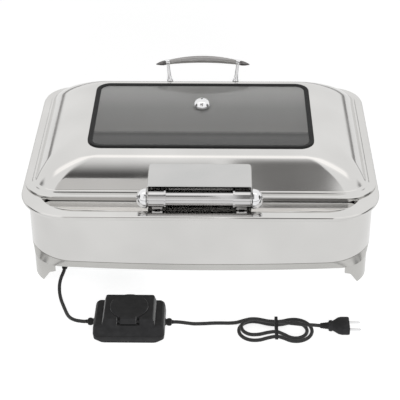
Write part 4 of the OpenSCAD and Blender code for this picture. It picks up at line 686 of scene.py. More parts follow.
base_mesh = bmesh.new()
band_rows = [(base_outline, FLANGE_W, FOOT_H)]
band_rows += [(base_outline, inset, FOOT_H + rise) for inset, rise in EDGE_ROUND]
band_rows += [(wall_outline, inset, BAND_TOP - drop) for inset, drop in reversed(EDGE_ROUND)]
band_rows += [(wall_outline, SEAM_DEPTH, BAND_TOP), (wall_outline, SEAM_DEPTH, WALL_Z),
              (wall_outline, UPSTAND_OUT, WALL_Z), (wall_outline, UPSTAND_OUT, UPSTAND_TOP),
              (wall_outline, UPSTAND_IN, UPSTAND_TOP), (wall_outline, UPSTAND_IN, BAND_TOP),
              (base_outline, FRAME_T, FOOT_H + FRAME_T), (base_outline, FLANGE_W, FOOT_H + FRAME_T)]
add_loft(base_mesh, [lifted(shape(inset), z) for shape, inset, z in band_rows], closed=True)
print("band rows:", len(band_rows))

# %% Feet
FOOT_EDGE = [(-58.0, 27.5), (-48.0, 22.8), (-32.0, 0.0), (1.6, 0.0), (18.0, 22.8), (28.0, 27.5)]
FOOT_STEP, FOOT_TOP, BEVEL_H, BEVEL_SHARE = 2.0, FOOT_H + 0.4, 0.35, 0.2


def between(stations, x):
    """Value at x on a line through (x, value) stations."""
    for (x0, a), (x1, b) in zip(stations, stations[1:]):
        if x0 <= x <= x1:
            return a + (b - a) * (x - x0) / (x1 - x0)
    raise ValueError(x)


def foot_columns(sx, sy, inset):
    """Places along one corner, each with its distance from the corner's middle, long side positive."""
    turn = atan2(sx, -sy)
    flip = 1 if sx == sy else -1
    cx, cy = sx * (BASE_HX - BASE_R), sy * (WALL_HY - BASE_R)
    found = []
    for x, y in base_outline(inset):
        if x * sx > 0 and y * sy > 0:
            found.append((flip * ((x - cx) * cos(turn) + (y - cy) * sin(turn)), x, y))
    return sorted(found)


def place_on(line, stop):
    return between([(s, x) for s, x, y in line], stop), between([(s, y) for s, x, y in line], stop)


def add_foot(mesh, sx, sy):
    """One foot, a bent bar whose lower edge follows the outline; gives back its faces."""
    first, last = FOOT_EDGE[0][0], FOOT_EDGE[-1][0]
    steps = {first + FOOT_STEP * i for i in range(int((last - first) / FOOT_STEP))}
    outside, inside = foot_columns(sx, sy, 0.0), foot_columns(sx, sy, FOOT_T)
    rows = []
    for stop in sorted({x for x, z in FOOT_EDGE} | steps):
        (ox, oy), (ix, iy) = place_on(outside, stop), place_on(inside, stop)
        z = between(FOOT_EDGE, stop)
        bar = ((ox, oy, z + BEVEL_H), (ox, oy, FOOT_TOP), (ix, iy, FOOT_TOP), (ix, iy, z),
               (mix(ox, ix, BEVEL_SHARE), mix(oy, iy, BEVEL_SHARE), z))
        rows.append([mesh.verts.new(Vector(p) * MM) for p in bar])
    for a, b in zip(rows, rows[1:]):
        for j in range(len(a)):
            k = (j + 1) % len(a)
            mesh.faces.new((a[j], a[k], b[k], b[j]))
    ends = [mesh.faces.new(rows[0]), mesh.faces.new(rows[-1])]
    return [f for row in rows for v in row for f in v.link_faces] + ends


for sx in (-1, 1):
    for sy in (-1, 1):
        faces = list(set(add_foot(base_mesh, sx, sy)))
        bmesh.ops.recalc_face_normals(base_mesh, faces=faces)
base_sheet = sheet_piece("base_band", base_mesh, 0.0, band_steel_painted_shade)
settle(base_sheet, "base", "polished_steel", "base_frame")

# %% [markdown]
# ## Food pan and water basin
# Both are deep-drawn pans with a flat flange, a small turn into the wall and a large radius at the floor.
# One function draws either: it goes in over the flange, down the wall and out over the floor, so the faces
# look into the pan and the sheet's thickness lies below.

# %% Pans
PAN_T, PAN_LEAST_R, FLANGE_LEAD, FLOOR_LEAD = 0.9, 6.0, 0.6, 1.0
TURN_STEPS, FLOOR_STEPS = 6, 12


def pan(name, hx, hy, corner_r, flange, turn_r, taper, foot_r, top, floor_z):
    rows = [(0.0, top), (flange - turn_r - FLANGE_LEAD, top)]
    rows += arc(flange - turn_r, top - turn_r, turn_r, 90, 0, TURN_STEPS)
    rows += arc(flange + taper + foot_r, floor_z + foot_r, foot_r, 180, 270, FLOOR_STEPS)
    rows.append((flange + taper + foot_r + FLOOR_LEAD, floor_z))
    rings = [lifted(about_lid(hx - inset, hy - inset, max(PAN_LEAST_R, corner_r - inset)), z)
             for inset, z in rows]
    return loft_piece(name, rings, PAN_T, pan_steel, floor=True)


basin_sheet = pan("basin_sheet", hx=270.0, hy=167.5, corner_r=61.9, flange=17.0, turn_r=3.0, taper=0.0,
                  foot_r=18.0, top=160.4, floor_z=71.5)
settle(basin_sheet, "base", "polished_steel", "water_basin")
food_sheet = pan("food_pan_sheet", hx=265.0, hy=162.5, corner_r=56.0, flange=14.0, turn_r=4.0, taper=7.0,
                 foot_r=14.0, top=161.6, floor_z=96.6)
settle(food_sheet, "base", "polished_steel", "food_pan")

# %% [markdown]
# ## Other finishes
# Chrome for the hinge, posts and vent, with a darker copy on the barrel and bearings whose dimmer
# highlights are painted shade; a satin coat on the grip; smoked glass whose colour carries a painted
# reflection; rubber for the gasket and the boots; moulded plastic with a fine grain for the controller and
# the plug; and workshop finishes underneath. The plastic also asks how open each spot is, and goes black
# in the seams and beside the cover's tongue: painted shade, which darkens its colour and shine where faces
# lie close.

# %% Bright metals
chrome = coat("chrome", METAL, ("e6e6e7", "efeff0", 30.0, EVEN, 2.0), (0.035, 0.075, 45.0, EVEN, 4.0))
# A darker copy of the chrome for the barrel and bearings, so that their highlights come out grey: painted
# shade.
hinge_chrome_painted_shade = coat("hinge_chrome_painted_shade", METAL, ("c6c5c5", "d0cfcf", 30.0, EVEN, 2.0),
                    (0.05, 0.09, 45.0, EVEN, 4.0))
hood_steel = coat("hood_steel", METAL, ("c6c6c5", "cecdcc", 12.0, EVEN, 2.0), (0.1, 0.16, 30.0, EVEN, 4.0))
dark_chrome = coat("dark_chrome", METAL, ("6a6868", "7c7a79", 60.0), (0.1, 0.18, 90.0))
satin_grey = coat("satin_grey", {"Metallic": 0.85}, ("9b9997", "adabaa", 160.0, (0.08, 1.0, 1.0)),
                  (0.34, 0.46, 420.0, (0.03, 1.0, 1.0)), (0.02, 0.3, 1500.0, (0.02, 1.0, 1.0), 2.0))
print("finishes:", chrome.name, hinge_chrome_painted_shade.name, hood_steel.name, dark_chrome.name, satin_grey.name)

# %% Glass, with a painted reflection
GLASS_Y0, GLASS_Y1 = -0.083, 0.1375
# The glass's colour runs with its place from front to back: mid grey at the near edge, a dark band just
# behind it, then lighter towards the back. This is a painted reflection over the smoked tint.
GLASS_TONES_WITH_PAINTED_REFLECTION = [(0.0, "80807f"), (0.13, "8a8a89"), (0.18, "5e5e5d"), (0.225, "bab9b7"), (0.6, "ccccca"),
                (0.75, "dfdfdd"), (0.9, "efefed")]
smoked_glass, tree, shader = new_finish("smoked_glass", {
    "Transmission Weight": 0.62, "IOR": 1.45, "Specular IOR Level": 0.4})
place = add_node(tree, "ShaderNodeTexCoord")
parts = add_node(tree, "ShaderNodeSeparateXYZ")
depth = add_node(tree, "ShaderNodeMapRange", {"From Min": GLASS_Y0, "From Max": GLASS_Y1})
smoke = ramp_of(tree, GLASS_TONES_WITH_PAINTED_REFLECTION)
join(tree, (place, "Object", parts, 0), (parts, "Y", depth, "Value"), (depth, "Result", smoke, "Fac"),
     (smoke, "Color", shader, "Base Color"))
gloss(tree, shader, grain(tree, 40.0), 0.03, 0.07)

# %% Rubber and plastic
SEAM_SHADE_REACH, SEAM_SHADE_OPEN, PLASTIC_SHINE = 5.0, (0.35, 0.85), 0.2
black_rubber = coat("black_rubber", {"Specular IOR Level": 0.25}, ("121212", "1c1c1c", 120.0),
                    (0.48, 0.64, 300.0), (0.03, 0.5, 2600.0, EVEN, 2.0))
black_plastic = coat("black_plastic", {}, ("1d1d1e", "272728", 90.0), (0.34, 0.46, 200.0),
                     (0.03, 0.45, 1800.0, EVEN, 2.0))
tree = black_plastic.node_tree
shader = tree.nodes["Principled BSDF"]
own_colour = shader.inputs["Base Color"].links[0].from_node
# Painted shade: ambient occlusion darkens the plastic's colour and shine where faces lie close, in seams and
# gaps.
near = add_node(tree, "ShaderNodeAmbientOcclusion", {"Distance": SEAM_SHADE_REACH * MM})
unshaded_share = add_node(tree, "ShaderNodeMapRange", {"From Min": SEAM_SHADE_OPEN[0], "From Max": SEAM_SHADE_OPEN[1]})
shade = add_node(tree, "ShaderNodeVectorMath", operation="SCALE")
shine = add_node(tree, "ShaderNodeMath", {1: PLASTIC_SHINE}, operation="MULTIPLY")
join(tree, (near, "AO", unshaded_share, "Value"), (own_colour, "Color", shade, 0),
     (unshaded_share, "Result", shade, "Scale"), (shade, 0, shader, "Base Color"),
     (unshaded_share, "Result", shine, 0), (shine, 0, shader, "Specular IOR Level"))
print("finishes:", smoked_glass.name, black_rubber.name, black_plastic.name)

# %% Workshop finishes
DULL_METAL = {"Metallic": 0.9}
zinc_plate, tree, shader = new_finish("zinc_plate", DULL_METAL)
place = add_node(tree, "ShaderNodeTexCoord")
flakes = add_node(tree, "ShaderNodeTexVoronoi", {"Scale": 160.0})
join(tree, (place, "Object", flakes, "Vector"))
tint(tree, shader, (flakes, "Color"), "a9adb0", "c3c6c8")
gloss(tree, shader, grain(tree, 70.0), 0.3, 0.48)
cast_aluminium = coat("cast_aluminium", DULL_METAL, ("a8a8a6", "bdbdbb", 260.0), (0.42, 0.6, 500.0),
                      (0.05, 0.5, 1400.0))
heated_steel = coat("heated_steel", DULL_METAL, ("4e4842", "6b6660", 35.0), (0.4, 0.58, 120.0))
pale_insulation = coat("pale_insulation", {"Specular IOR Level": 0.3}, ("cfc9ba", "e0dbce", 320.0),
                       (0.6, 0.8, 200.0), (0.05, 0.6, 1600.0))
print("finishes:", zinc_plate.name, cast_aluminium.name, heated_steel.name, pale_insulation.name)

# %% [markdown]
# ## Solids that stay
# The hinge, the handle, the controller and the plug keep the frame's own solids, whose shapes are right.
# Their meshes are loose triangles, so each gets a small live tree that merges them and shades them smooth
# up to a crease. Nothing is moved and no mesh is changed, and then each one's slots take its finish.

# %% Merge and crease tree
MERGE_MM, SOLID_CREASE = 0.01, radians(28)
crease_tree, start, end = new_tree("merge_and_crease", {"Crease": "NodeSocketFloat"})
merge = add_node(crease_tree, "GeometryNodeMergeByDistance", {"Distance": MERGE_MM * MM})
all_smooth = add_node(crease_tree, "GeometryNodeSetShadeSmooth", domain="FACE")
bend = add_node(crease_tree, "GeometryNodeInputMeshEdgeAngle")
sharper = add_node(crease_tree, "FunctionNodeCompare", data_type="FLOAT", operation="GREATER_THAN")
folds = add_node(crease_tree, "GeometryNodeSetShadeSmooth", {"Shade Smooth": False}, domain="EDGE")
join(crease_tree, (bend, "Unsigned Angle", sharper, 0), (start, "Crease", sharper, 1),
     (sharper, 0, folds, "Selection"))
flow(crease_tree, start, merge, all_smooth, folds, end)

# %% Finishes of the solids
finish_of = {
    chrome: ["vent_nut", "handle_post_left", "handle_post_right", "hinge_axle", "hinge_cap_left",
             "hinge_cap_right", "plug_pins"],
    hinge_chrome_painted_shade: ["hinge_bearing_left", "hinge_bearing_right", "hinge_barrel"],
    dark_chrome: ["handle_finials"],
    satin_grey: ["handle_grip"],
    smoked_glass: ["window_glass"],
    black_rubber: ["vent_washer", "plug_boot"],
    black_plastic: ["controller_base", "controller_housing", "dial_cover", "temperature_dial", "plug_body",
                    "cord_tie", "cord_gland", "hinge_damper", "cover_pin"],
    zinc_plate: ["bottom_plate", "gland_bracket", "element_clamps", "dial_spindle", "thermostat"],
    cast_aluminium: ["heating_plate"],
    heated_steel: ["heating_element"],
    pale_insulation: ["terminal_block", "thermal_cutout"],
}
for finish, names in finish_of.items():
    for name in names:
        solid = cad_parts[name]
        dress(solid, crease_tree, {"Crease": SOLID_CREASE})
        for slot in solid.material_slots:
            slot.material = finish
print("solids dressed:", sum(len(names) for names in finish_of.values()))

# %% [markdown]
# ## Gasket, vent and boots
# The gasket round the window holds the glass and falls towards it, so from the front its far side shows
# broader than its near side; it is a closed loft of one section. The steam vent is a small chrome dome
# with a hole, and the two boots of the controller are moulded rubber with lumps. These are turned shapes:
# a row of radii and heights, carried round an axis. Their places come from the frame's boxes, so the
# vent sits on the glass and each boot fills the place of its plain solid.

# %% Turned helpers
def turned_piece(name, rows, place, finish, sides=32):
    """A turned solid from (radius, height) rows, closed at both ends, through a placing matrix."""
    mesh = bmesh.new()
    loops = add_loft(mesh, [[place @ Vector(p) for p in lifted(round_line(r, sides), h)] for r, h in rows])
    mesh.faces.new(list(reversed(loops[0])))
    mesh.faces.new(loops[-1])
    return sheet_piece(name, mesh, 0.0, finish)


def box_mm(node):
    low, high = (Vector(c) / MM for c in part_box(node))
    return low, high, (low + high) / 2


# %% Window gasket
GASKET_ROWS = [(0.0, 209.2), (0.0, 213.4), (0.3, 213.9), (0.9, 214.0), (8.2, 212.5), (8.8, 212.15),
               (7.75, 212.12), (7.75, 208.08), (8.8, 208.05), (8.8, 207.2), (8.2, 206.9), (1.0, 208.9)]
gasket_rings = [lifted(window_outline(inset), z) for inset, z in GASKET_ROWS]
gasket_ring = loft_piece("gasket_ring", gasket_rings, 0.0, black_rubber, closed=True)
settle(gasket_ring, "lid", "black_rubber", "window_gasket")

# %% Steam vent
VENT_R, VENT_RISE, VENT_FLANGE_H, VENT_STEM_R = 15.5, 13.0, 1.4, 3.4
VENT_HOLE_R, VENT_HOLE_DEEP, VENT_HOLE_TAPER, VENT_STEPS = 1.9, 3.0, 0.2, 12
vent_low, _, vent_mid = box_mm("steam_vent")
glass_top = box_mm("vent_washer")[1].z
last_turn = degrees(acos(VENT_HOLE_R / VENT_R))
vent_rows = [(VENT_STEM_R, vent_low.z - glass_top), (VENT_STEM_R, 0.0), (VENT_R, 0.0),
             (VENT_R, VENT_FLANGE_H)]
vent_rows += [(VENT_R * cos(radians(t)), VENT_FLANGE_H + VENT_RISE * sin(radians(t)))
              for t in (last_turn * i / VENT_STEPS for i in range(1, VENT_STEPS + 1))]
vent_rows.append((VENT_HOLE_R - VENT_HOLE_TAPER, VENT_FLANGE_H + VENT_RISE - VENT_HOLE_DEEP))
vent_dome = turned_piece("vent_dome", vent_rows,
                         Matrix.Translation((vent_mid.x, vent_mid.y, glass_top)), chrome)
settle(vent_dome, "lid", "chrome", "steam_vent")

# %% Boots of the controller
BOOT_LUMPS, BOOT_ROWS, NECK_R, LUMP_SHARE, VALLEY = 2, 32, 3.3, 0.86, 0.68


def ribbed_boot(name, node, outwards):
    """A boot with lumps along X; outwards is +1 or -1, away from the controller."""
    low, high, mid = box_mm(node)
    reach, full_r = high.x - low.x, (high.z - low.z) / 2
    rows = []
    for i in range(BOOT_ROWS + 1):
        t = i / BOOT_ROWS
        lump = abs(sin(pi * BOOT_LUMPS * t / LUMP_SHARE)) ** 0.5
        rows.append((full_r * mix(VALLEY, 1.0, lump) if t < LUMP_SHARE else NECK_R, reach * t))
    start_x = low.x if outwards > 0 else high.x
    turn = Matrix.Rotation(radians(90 * outwards), 4, "Y")
    boot = turned_piece(name, rows, Matrix.Translation((start_x, mid.y, mid.z)) @ turn, black_rubber)
    settle(boot, "base", "black_rubber", node)
    return boot


boots = [ribbed_boot("boot_in", "controller_boot_in", -1), ribbed_boot("boot_out", "controller_boot_out", 1)]

# %% [markdown]
# ## The controller's parting line, with a painted shadow
# The two shells of the controller meet in a narrow groove that falls into shade as a dark line round the
# housing. The groove is too fine for the solids, so a thin black band stands in it as a painted shadow.
# Above it the shell leans in, so the band shows without standing out further than the shells' own widest
# line.

# %% Parting line, a painted shadow
SHADOW_BAND_BELOW, SHADOW_BAND_ABOVE, SHADOW_BAND_DEEP, SEAM_R = 0.3, 0.9, 0.6, 9.0
shell_low, shell_high, shell_mid = box_mm("controller_housing")
seam_z = shell_low.z


def shell_outline(inset):
    hx, hy = (shell_high.x - shell_low.x) / 2 - inset, (shell_high.y - shell_low.y) / 2 - inset
    line = rounded(hx, -hy, hy, SEAM_R - inset, SEAM_R - inset)
    return [(shell_mid.x + x, shell_mid.y + y) for x, y in line]


shadow_band_rows = [(SHADOW_BAND_DEEP, -SHADOW_BAND_BELOW), (0.0, -SHADOW_BAND_BELOW), (0.0, SHADOW_BAND_ABOVE), (SHADOW_BAND_DEEP, SHADOW_BAND_ABOVE)]
shadow_band_rings = [lifted(shell_outline(inset), seam_z + h) for inset, h in shadow_band_rows]
# A thin black band in the groove: painted shadow.
seam_band = loft_piece("seam_band", shadow_band_rings, 0.0, black_rubber, closed=True)
settle(seam_band, "base", "black_rubber")
print("parting line at", round(seam_z, 1), "mm")

# %% [markdown]
# ## The hood over the hinge
# A bent sheet reaches from the dome's wall over the barrel: a roof and two cheeks, each ending in a round
# ear on the axle. It is drawn as lines that run from its front edge to the wall. Each line of the section
# asks the outline of the cheek where it starts and the dome where it ends, so the sheet meets the wall at
# every height.

# %% Hood outline
HINGE_Y, HINGE_Z, EAR_R, EAR_TURN = -199.0, 176.5, 13.0, 30.0
HOOD_HX, HOOD_Z, HOOD_FRONT_Y, HOOD_T = 87.5, 199.5, -196.0, 2.0
HOOD_EDGE_R, HOOD_CORNER_R, CHEEK_Z, CHEEK_BITE, ROOF_BITE = 2.5, 7.0, 166.0, 0.5, -1.0
HOOD_STATIONS, CHEEK_STEPS, CHEEK_LEAD, EDGE_GAP = 14, 14, 2.0, 0.1
EAR_ZS, ROOF_STEPS = (164.2, 165.0), (1.0, 2.0, 3.5, 5.0, 20.0)
wall_stations = [(rise, inset) for inset, rise in fillet_rows + dome_rows]


def ear_half(z):
    return (EAR_R ** 2 - (z - HINGE_Z) ** 2) ** 0.5


def hood_start(z):
    """Where the cheek's front edge lies at this height: a slant down to the ear, then the ear's round."""
    slant_z = HINGE_Z + EAR_R * sin(radians(EAR_TURN))
    if z < slant_z:
        return HINGE_Y - ear_half(z)
    return mix(HINGE_Y - EAR_R * cos(radians(EAR_TURN)), HOOD_FRONT_Y, (z - slant_z) / (HOOD_Z - slant_z))


def hood_end(z, from_edge):
    """Where the sheet meets the wall, less the round corner near the bent edge, or the ear's other side."""
    if z < CHEEK_Z:
        return HINGE_Y + ear_half(z)
    short = max(HOOD_CORNER_R - from_edge, 0.0)
    rounding = HOOD_CORNER_R - (HOOD_CORNER_R ** 2 - short ** 2) ** 0.5
    bite = ROOF_BITE if z > HOOD_Z - HOOD_EDGE_R else CHEEK_BITE
    return LID_Y0 + between(wall_stations, z - DOME_Z) + bite - rounding


# %% Hood sheet
bend_x, bend_z = HOOD_HX - HOOD_EDGE_R, HOOD_Z - HOOD_EDGE_R
half_bend = HOOD_EDGE_R * pi / 4
cheek_zs = [HINGE_Z - EAR_R + EDGE_GAP, *EAR_ZS, CHEEK_Z - EDGE_GAP, CHEEK_Z]
cheek_zs += [mix(CHEEK_Z + CHEEK_LEAD, bend_z, i / CHEEK_STEPS) for i in range(CHEEK_STEPS)]
half_section = [(HOOD_HX, z, half_bend + bend_z - z) for z in cheek_zs]
half_section += [(x, z, HOOD_EDGE_R * abs(radians(turn - 45))) for turn, (x, z) in zip(
    range(0, 91, 15), arc(bend_x, bend_z, HOOD_EDGE_R, 0, 90, 6))]
half_section += [(bend_x - step, HOOD_Z, half_bend + step) for step in (*ROOF_STEPS, bend_x)]
section_line = half_section + [(-x, z, far) for x, z, far in reversed(half_section[:-1])]
hood_mesh = bmesh.new()
lines = []
for x, z, far in section_line:
    first, last = hood_start(z), hood_end(z, far)
    lines.append([hood_mesh.verts.new(Vector((x, mix(first, last, i / HOOD_STATIONS), z)) * MM)
                  for i in range(HOOD_STATIONS + 1)])
for low, high in zip(lines, lines[1:]):
    for i in range(HOOD_STATIONS):
        hood_mesh.faces.new((low[i], low[i + 1], high[i + 1], high[i]))
hood_cover = sheet_piece("hood_cover", hood_mesh, HOOD_T, hood_steel)
settle(hood_cover, "lid", "chrome", "hinge_hood")

# %% [markdown]
# ## Wires under the casing
# Inside, a short cable runs from the gland to the terminal block and two sleeved leads go on to the
# heating element. They are tubes along a path like the cord. The places across are given, and the
# heights climb from the gland to the block and from there to the element, which the frame's boxes give.

# %% Inner wires
CABLE_D, LEAD_D = 6.0, 3.0
GLAND_Z = to_controller[0].z / MM
PORT_Z = box_mm("inner_cable")[1].z - CABLE_D / 2
ELEMENT_Z = box_mm("heating_element")[2].z


def climbing(places, first, last):
    """Smooth path through (x, y, share) places; the share takes its height from first to last."""
    return smooth_path([(x, y, mix(first, last, share)) for x, y, share in places])


cable_path = climbing([(-235, -168, 0), (-235, -162, 0), (-233, -154, 0.2), (-228, -144, 0.6),
                       (-219, -135, 0.9), (-208, -125, 1), (-204, -117, 1), (-204, -111, 1)], GLAND_Z, PORT_Z)
near_lead = climbing([(-195, -89, 0), (-195, -84, 0), (-194, -56.75, 0.3), (-190, -40.75, 0.7),
                      (-170, -30.75, 0.95), (-160, -26.75, 1), (-154, -26.75, 1)], PORT_Z, ELEMENT_Z)
far_lead = climbing([(-213, -89, 0), (-213, -84, 0), (-214, -26.75, 0), (-214, 41.25, 0.2),
                     (-208, 65.25, 0.6), (-174, 77.25, 0.95), (-160, 81.25, 1), (-154, 81.25, 1)],
                    PORT_Z, ELEMENT_Z)
inner_cord = tube("inner_cord", [cable_path], CABLE_D, black_sheath)
settle(inner_cord, "base", "black_cord", "inner_cable")
lead_sleeves = tube("lead_sleeves", [near_lead, far_lead], LEAD_D, pale_insulation, sides=12)
settle(lead_sleeves, "base", "insulation", "heater_leads")

# %% [markdown]
# ## Screws and rivets
# The same cross-head screw comes in five sets. One screw of each size is modelled, with its slot sunk into
# the head, and a small tree sets a copy on every point of a set, turned the way the set faces. The copies
# are realized, so each set ends as one plain mesh in the place of the frame's plain cylinders. The rivets
# that hold the hood come from the same tree: their heads sit inside the lid, square to the dome's wall.

# %% Tree for copies on points
copy_tree, start, end = new_tree("copies_on_points", {
    "Pattern": "NodeSocketObject", "Turn": "NodeSocketVector", "Finish": "NodeSocketMaterial"})
pattern = add_node(copy_tree, "GeometryNodeObjectInfo")
turn_all = add_node(copy_tree, "FunctionNodeEulerToRotation")
copies = add_node(copy_tree, "GeometryNodeInstanceOnPoints")
realize = add_node(copy_tree, "GeometryNodeRealizeInstances")
paint = add_node(copy_tree, "GeometryNodeSetMaterial")
join(copy_tree, (start, "Pattern", pattern, "Object"), (start, "Turn", turn_all, "Euler"),
     (turn_all, "Rotation", copies, "Rotation"), (pattern, "Geometry", copies, "Instance"),
     (start, "Finish", paint, "Material"))
flow(copy_tree, start, copies, realize, paint, end)


def copy_set(name, node, body, places, turn, one, finish, slot):
    """One mesh of copies of a pattern on the places; the pattern itself goes."""
    points = bpy.data.meshes.new(name + "_points")
    points.from_pydata([Vector(p) * MM for p in places], [], [])
    holder = plain_piece(name + "_places", points)
    dress(holder, copy_tree, {"Pattern": one, "Turn": turn, "Finish": finish})
    made = bake(holder, name)
    bpy.data.objects.remove(one)
    settle(made, body, slot, node)
    return made


# %% One screw
SCREW_SIDES, TIP = 40, 0.5
ARM_SHARE, BLADE_SHARE, SLOT_NARROW, SLOT_FLOOR = 0.3, 0.07, 0.6, 0.4


def screw_pattern(head_d, head_h, shank_d, length):
    """One screw, head up, seated at its origin; the slot is a cross that narrows downwards."""
    head_r, shank_r = head_d / 2, shank_d / 2
    cross = []
    for x, y in round_line(1.0, SCREW_SIDES):
        r = min(ARM_SHARE * head_d, BLADE_SHARE * head_d / max(min(abs(x), abs(y)), 1e-6))
        cross.append((r * x, r * y))
    rows = [(shank_r - TIP, -length), (shank_r, TIP - length), (shank_r, 0.0), (head_r, 0.0),
            (head_r, 0.35 * head_h), (0.92 * head_r, 0.7 * head_h), (0.75 * head_r, head_h)]
    rings = [lifted(round_line(r, SCREW_SIDES), h) for r, h in rows] + [lifted(cross, head_h)]
    rings.append([(SLOT_NARROW * x, SLOT_NARROW * y, SLOT_FLOOR * head_h) for x, y in cross])
    mesh = bmesh.new()
    loops = add_loft(mesh, rings, floor=True)
    mesh.faces.new(list(reversed(loops[0])))
    return sheet_piece("screw_pattern", mesh, 0.0, zinc_plate)


# %% Screws that go in from below
HEADS_DOWN = (pi, 0.0, 0.0)
PLATE_SCREW, BOSS_SCREW = (8.0, 2.4, 4.0), (6.0, 2.95, 3.0)
BOTTOM_X = 150.0


def round_the_plate(low, high):
    return ([(x, y) for x in (-BOTTOM_X, BOTTOM_X) for y in (-high.y, high.y)]
            + [(x, 0.0) for x in (-high.x, high.x)])


def in_the_corners(low, high):
    return [(x, y) for x in (low.x, high.x) for y in (low.y, high.y)]


def at_the_ends(low, high):
    return [(x, (low.y + high.y) / 2) for x in (low.x, high.x)]


def screws_from_below(node, size, spots):
    """A set with its heads down; the spots are asked of the box round the screws' middles."""
    low, high, _ = box_mm(node)
    head_d, head_h, shank_d = size
    half_head = Vector((head_d / 2, head_d / 2, 0.0))
    places = [(x, y, low.z + head_h) for x, y in spots(low + half_head, high - half_head)]
    one = screw_pattern(head_d, head_h, shank_d, high.z - low.z - head_h)
    return copy_set(node[:-1] + "_set", node, "base", places, HEADS_DOWN, one, zinc_plate, "plated_steel")


screws_from_below("bottom_screws", PLATE_SCREW, round_the_plate)
screws_from_below("clamp_screws", PLATE_SCREW, in_the_corners)
screws_from_below("bearing_screws", PLATE_SCREW, at_the_ends)
boss_set = screws_from_below("controller_screws", BOSS_SCREW, in_the_corners)

# %% Handle screws
POST_HALF, HANDLE_Y, HANDLE_Z, HANDLE_SEAT = 62.0, 165.468, 208.071, 1.1
HANDLE_SCREW, HANDLE_SHANK = (9.0, 3.0, 5.0), 12.0
HANDLE_TILT = radians(25.0)
out_of_lid = Vector((0.0, sin(HANDLE_TILT), cos(HANDLE_TILT)))
handle_places = [Vector((x, HANDLE_Y, HANDLE_Z)) - out_of_lid * HANDLE_SEAT for x in (-POST_HALF, POST_HALF)]
copy_set("handle_screw_set", "handle_screws", "lid", handle_places, (pi - HANDLE_TILT, 0.0, 0.0),
         screw_pattern(*HANDLE_SCREW, HANDLE_SHANK + HANDLE_SEAT), chrome, "chrome")

# %% Rivet heads
RIVET_SLOPE, RIVET_X = 48.0, (-50.0, 0.0, 50.0)
RIVET_ROWS = [(4.0, 0.0), (4.0, 0.4), (3.6, 0.9), (2.6, 1.3), (1.2, 1.5)]
inset, rise = dome_place(RIVET_SLOPE)
into_lid = Vector((0.0, sin(radians(RIVET_SLOPE)), -cos(radians(RIVET_SLOPE))))
rivet_places = [Vector((x, LID_Y0 + inset, DOME_Z + rise)) + into_lid * LID_T for x in RIVET_X]
copy_set("rivet_heads", "hood_rivets", "lid", rivet_places, (pi + radians(RIVET_SLOPE), 0.0, 0.0),
         turned_piece("rivet_pattern", RIVET_ROWS, Matrix.Identity(4), chrome), chrome, "chrome")

# %% [markdown]
# ## Marks on the dial
# Under its cover the dial carries a ring of short pale marks. They repeat round a circle, so a tree makes
# them: a circle of points, a small bar on each, turned by its own number, and none where the finger bar
# lies.

# %% Tree for the marks
mark_tree, start, end = new_tree("marks_round_dial", {
    "Count": "NodeSocketInt", "Radius": "NodeSocketFloat", "Size": "NodeSocketVector",
    "Finish": "NodeSocketMaterial"})
FINGER_BAR = 0.4
dial_middle = box_mm("temperature_dial")[2] * MM
circle = add_node(mark_tree, "GeometryNodeMeshCircle")
bar = add_node(mark_tree, "GeometryNodeMeshCube")
number = add_node(mark_tree, "GeometryNodeInputIndex")
step = add_node(mark_tree, "ShaderNodeMath", {0: 2 * pi}, operation="DIVIDE")
angle = add_node(mark_tree, "ShaderNodeMath", operation="MULTIPLY")
facing = add_node(mark_tree, "ShaderNodeCombineXYZ")
turn_each = add_node(mark_tree, "FunctionNodeEulerToRotation")
along_x = add_node(mark_tree, "ShaderNodeMath", operation="COSINE")
size_x = add_node(mark_tree, "ShaderNodeMath", operation="ABSOLUTE")
beside_bar = add_node(mark_tree, "FunctionNodeCompare", {1: FINGER_BAR},
                      data_type="FLOAT", operation="GREATER_THAN")
copies = add_node(mark_tree, "GeometryNodeInstanceOnPoints")
realize = add_node(mark_tree, "GeometryNodeRealizeInstances")
move = add_node(mark_tree, "GeometryNodeTransform", {"Translation": dial_middle})
paint = add_node(mark_tree, "GeometryNodeSetMaterial")
join(mark_tree, (start, "Count", circle, "Vertices"), (start, "Radius", circle, "Radius"),
     (start, "Size", bar, "Size"), (start, "Count", step, 1), (number, 0, angle, 0), (step, 0, angle, 1),
     (angle, 0, facing, "Z"), (facing, 0, turn_each, "Euler"), (turn_each, "Rotation", copies, "Rotation"),
     (angle, 0, along_x, 0), (along_x, 0, size_x, 0), (size_x, 0, beside_bar, 0),
     (beside_bar, 0, copies, "Selection"), (bar, "Mesh", copies, "Instance"),
     (start, "Finish", paint, "Material"))
flow(mark_tree, circle, copies, realize, move, paint, end)

# %% Dial marks
MARKS, MARK_R, MARK_SIZE = 24, 16.6, (3.2, 0.8, 0.3)
pale_paint = coat("pale_paint", {"Specular IOR Level": 0.3}, ("c4c3bd", "d4d3ce", 900.0), (0.5, 0.65, 500.0))
mark_holder = plain_piece("mark_holder", bpy.data.meshes.new("mark_holder"))
dress(mark_holder, mark_tree, {"Count": MARKS, "Radius": MARK_R * MM, "Size": [s * MM for s in MARK_SIZE],
                               "Finish": pale_paint})
dial_marks = bake(mark_holder, "dial_marks")
settle(dial_marks, "dial", "black_plastic")

# %% [markdown]
# ## Light, floor and background
# The picture has a pure white ground and light from all round. The world is white and the floor nearly so;
# the floor adds a little light of its own to rays from the camera and from mirrors, and keeps the soft
# shadow. Polished metal looks like what it mirrors, so cards with soft edges, dark, grey and bright, stand
# where only mirrors see them: in front of and above the dome, at both sides and along the horizon.

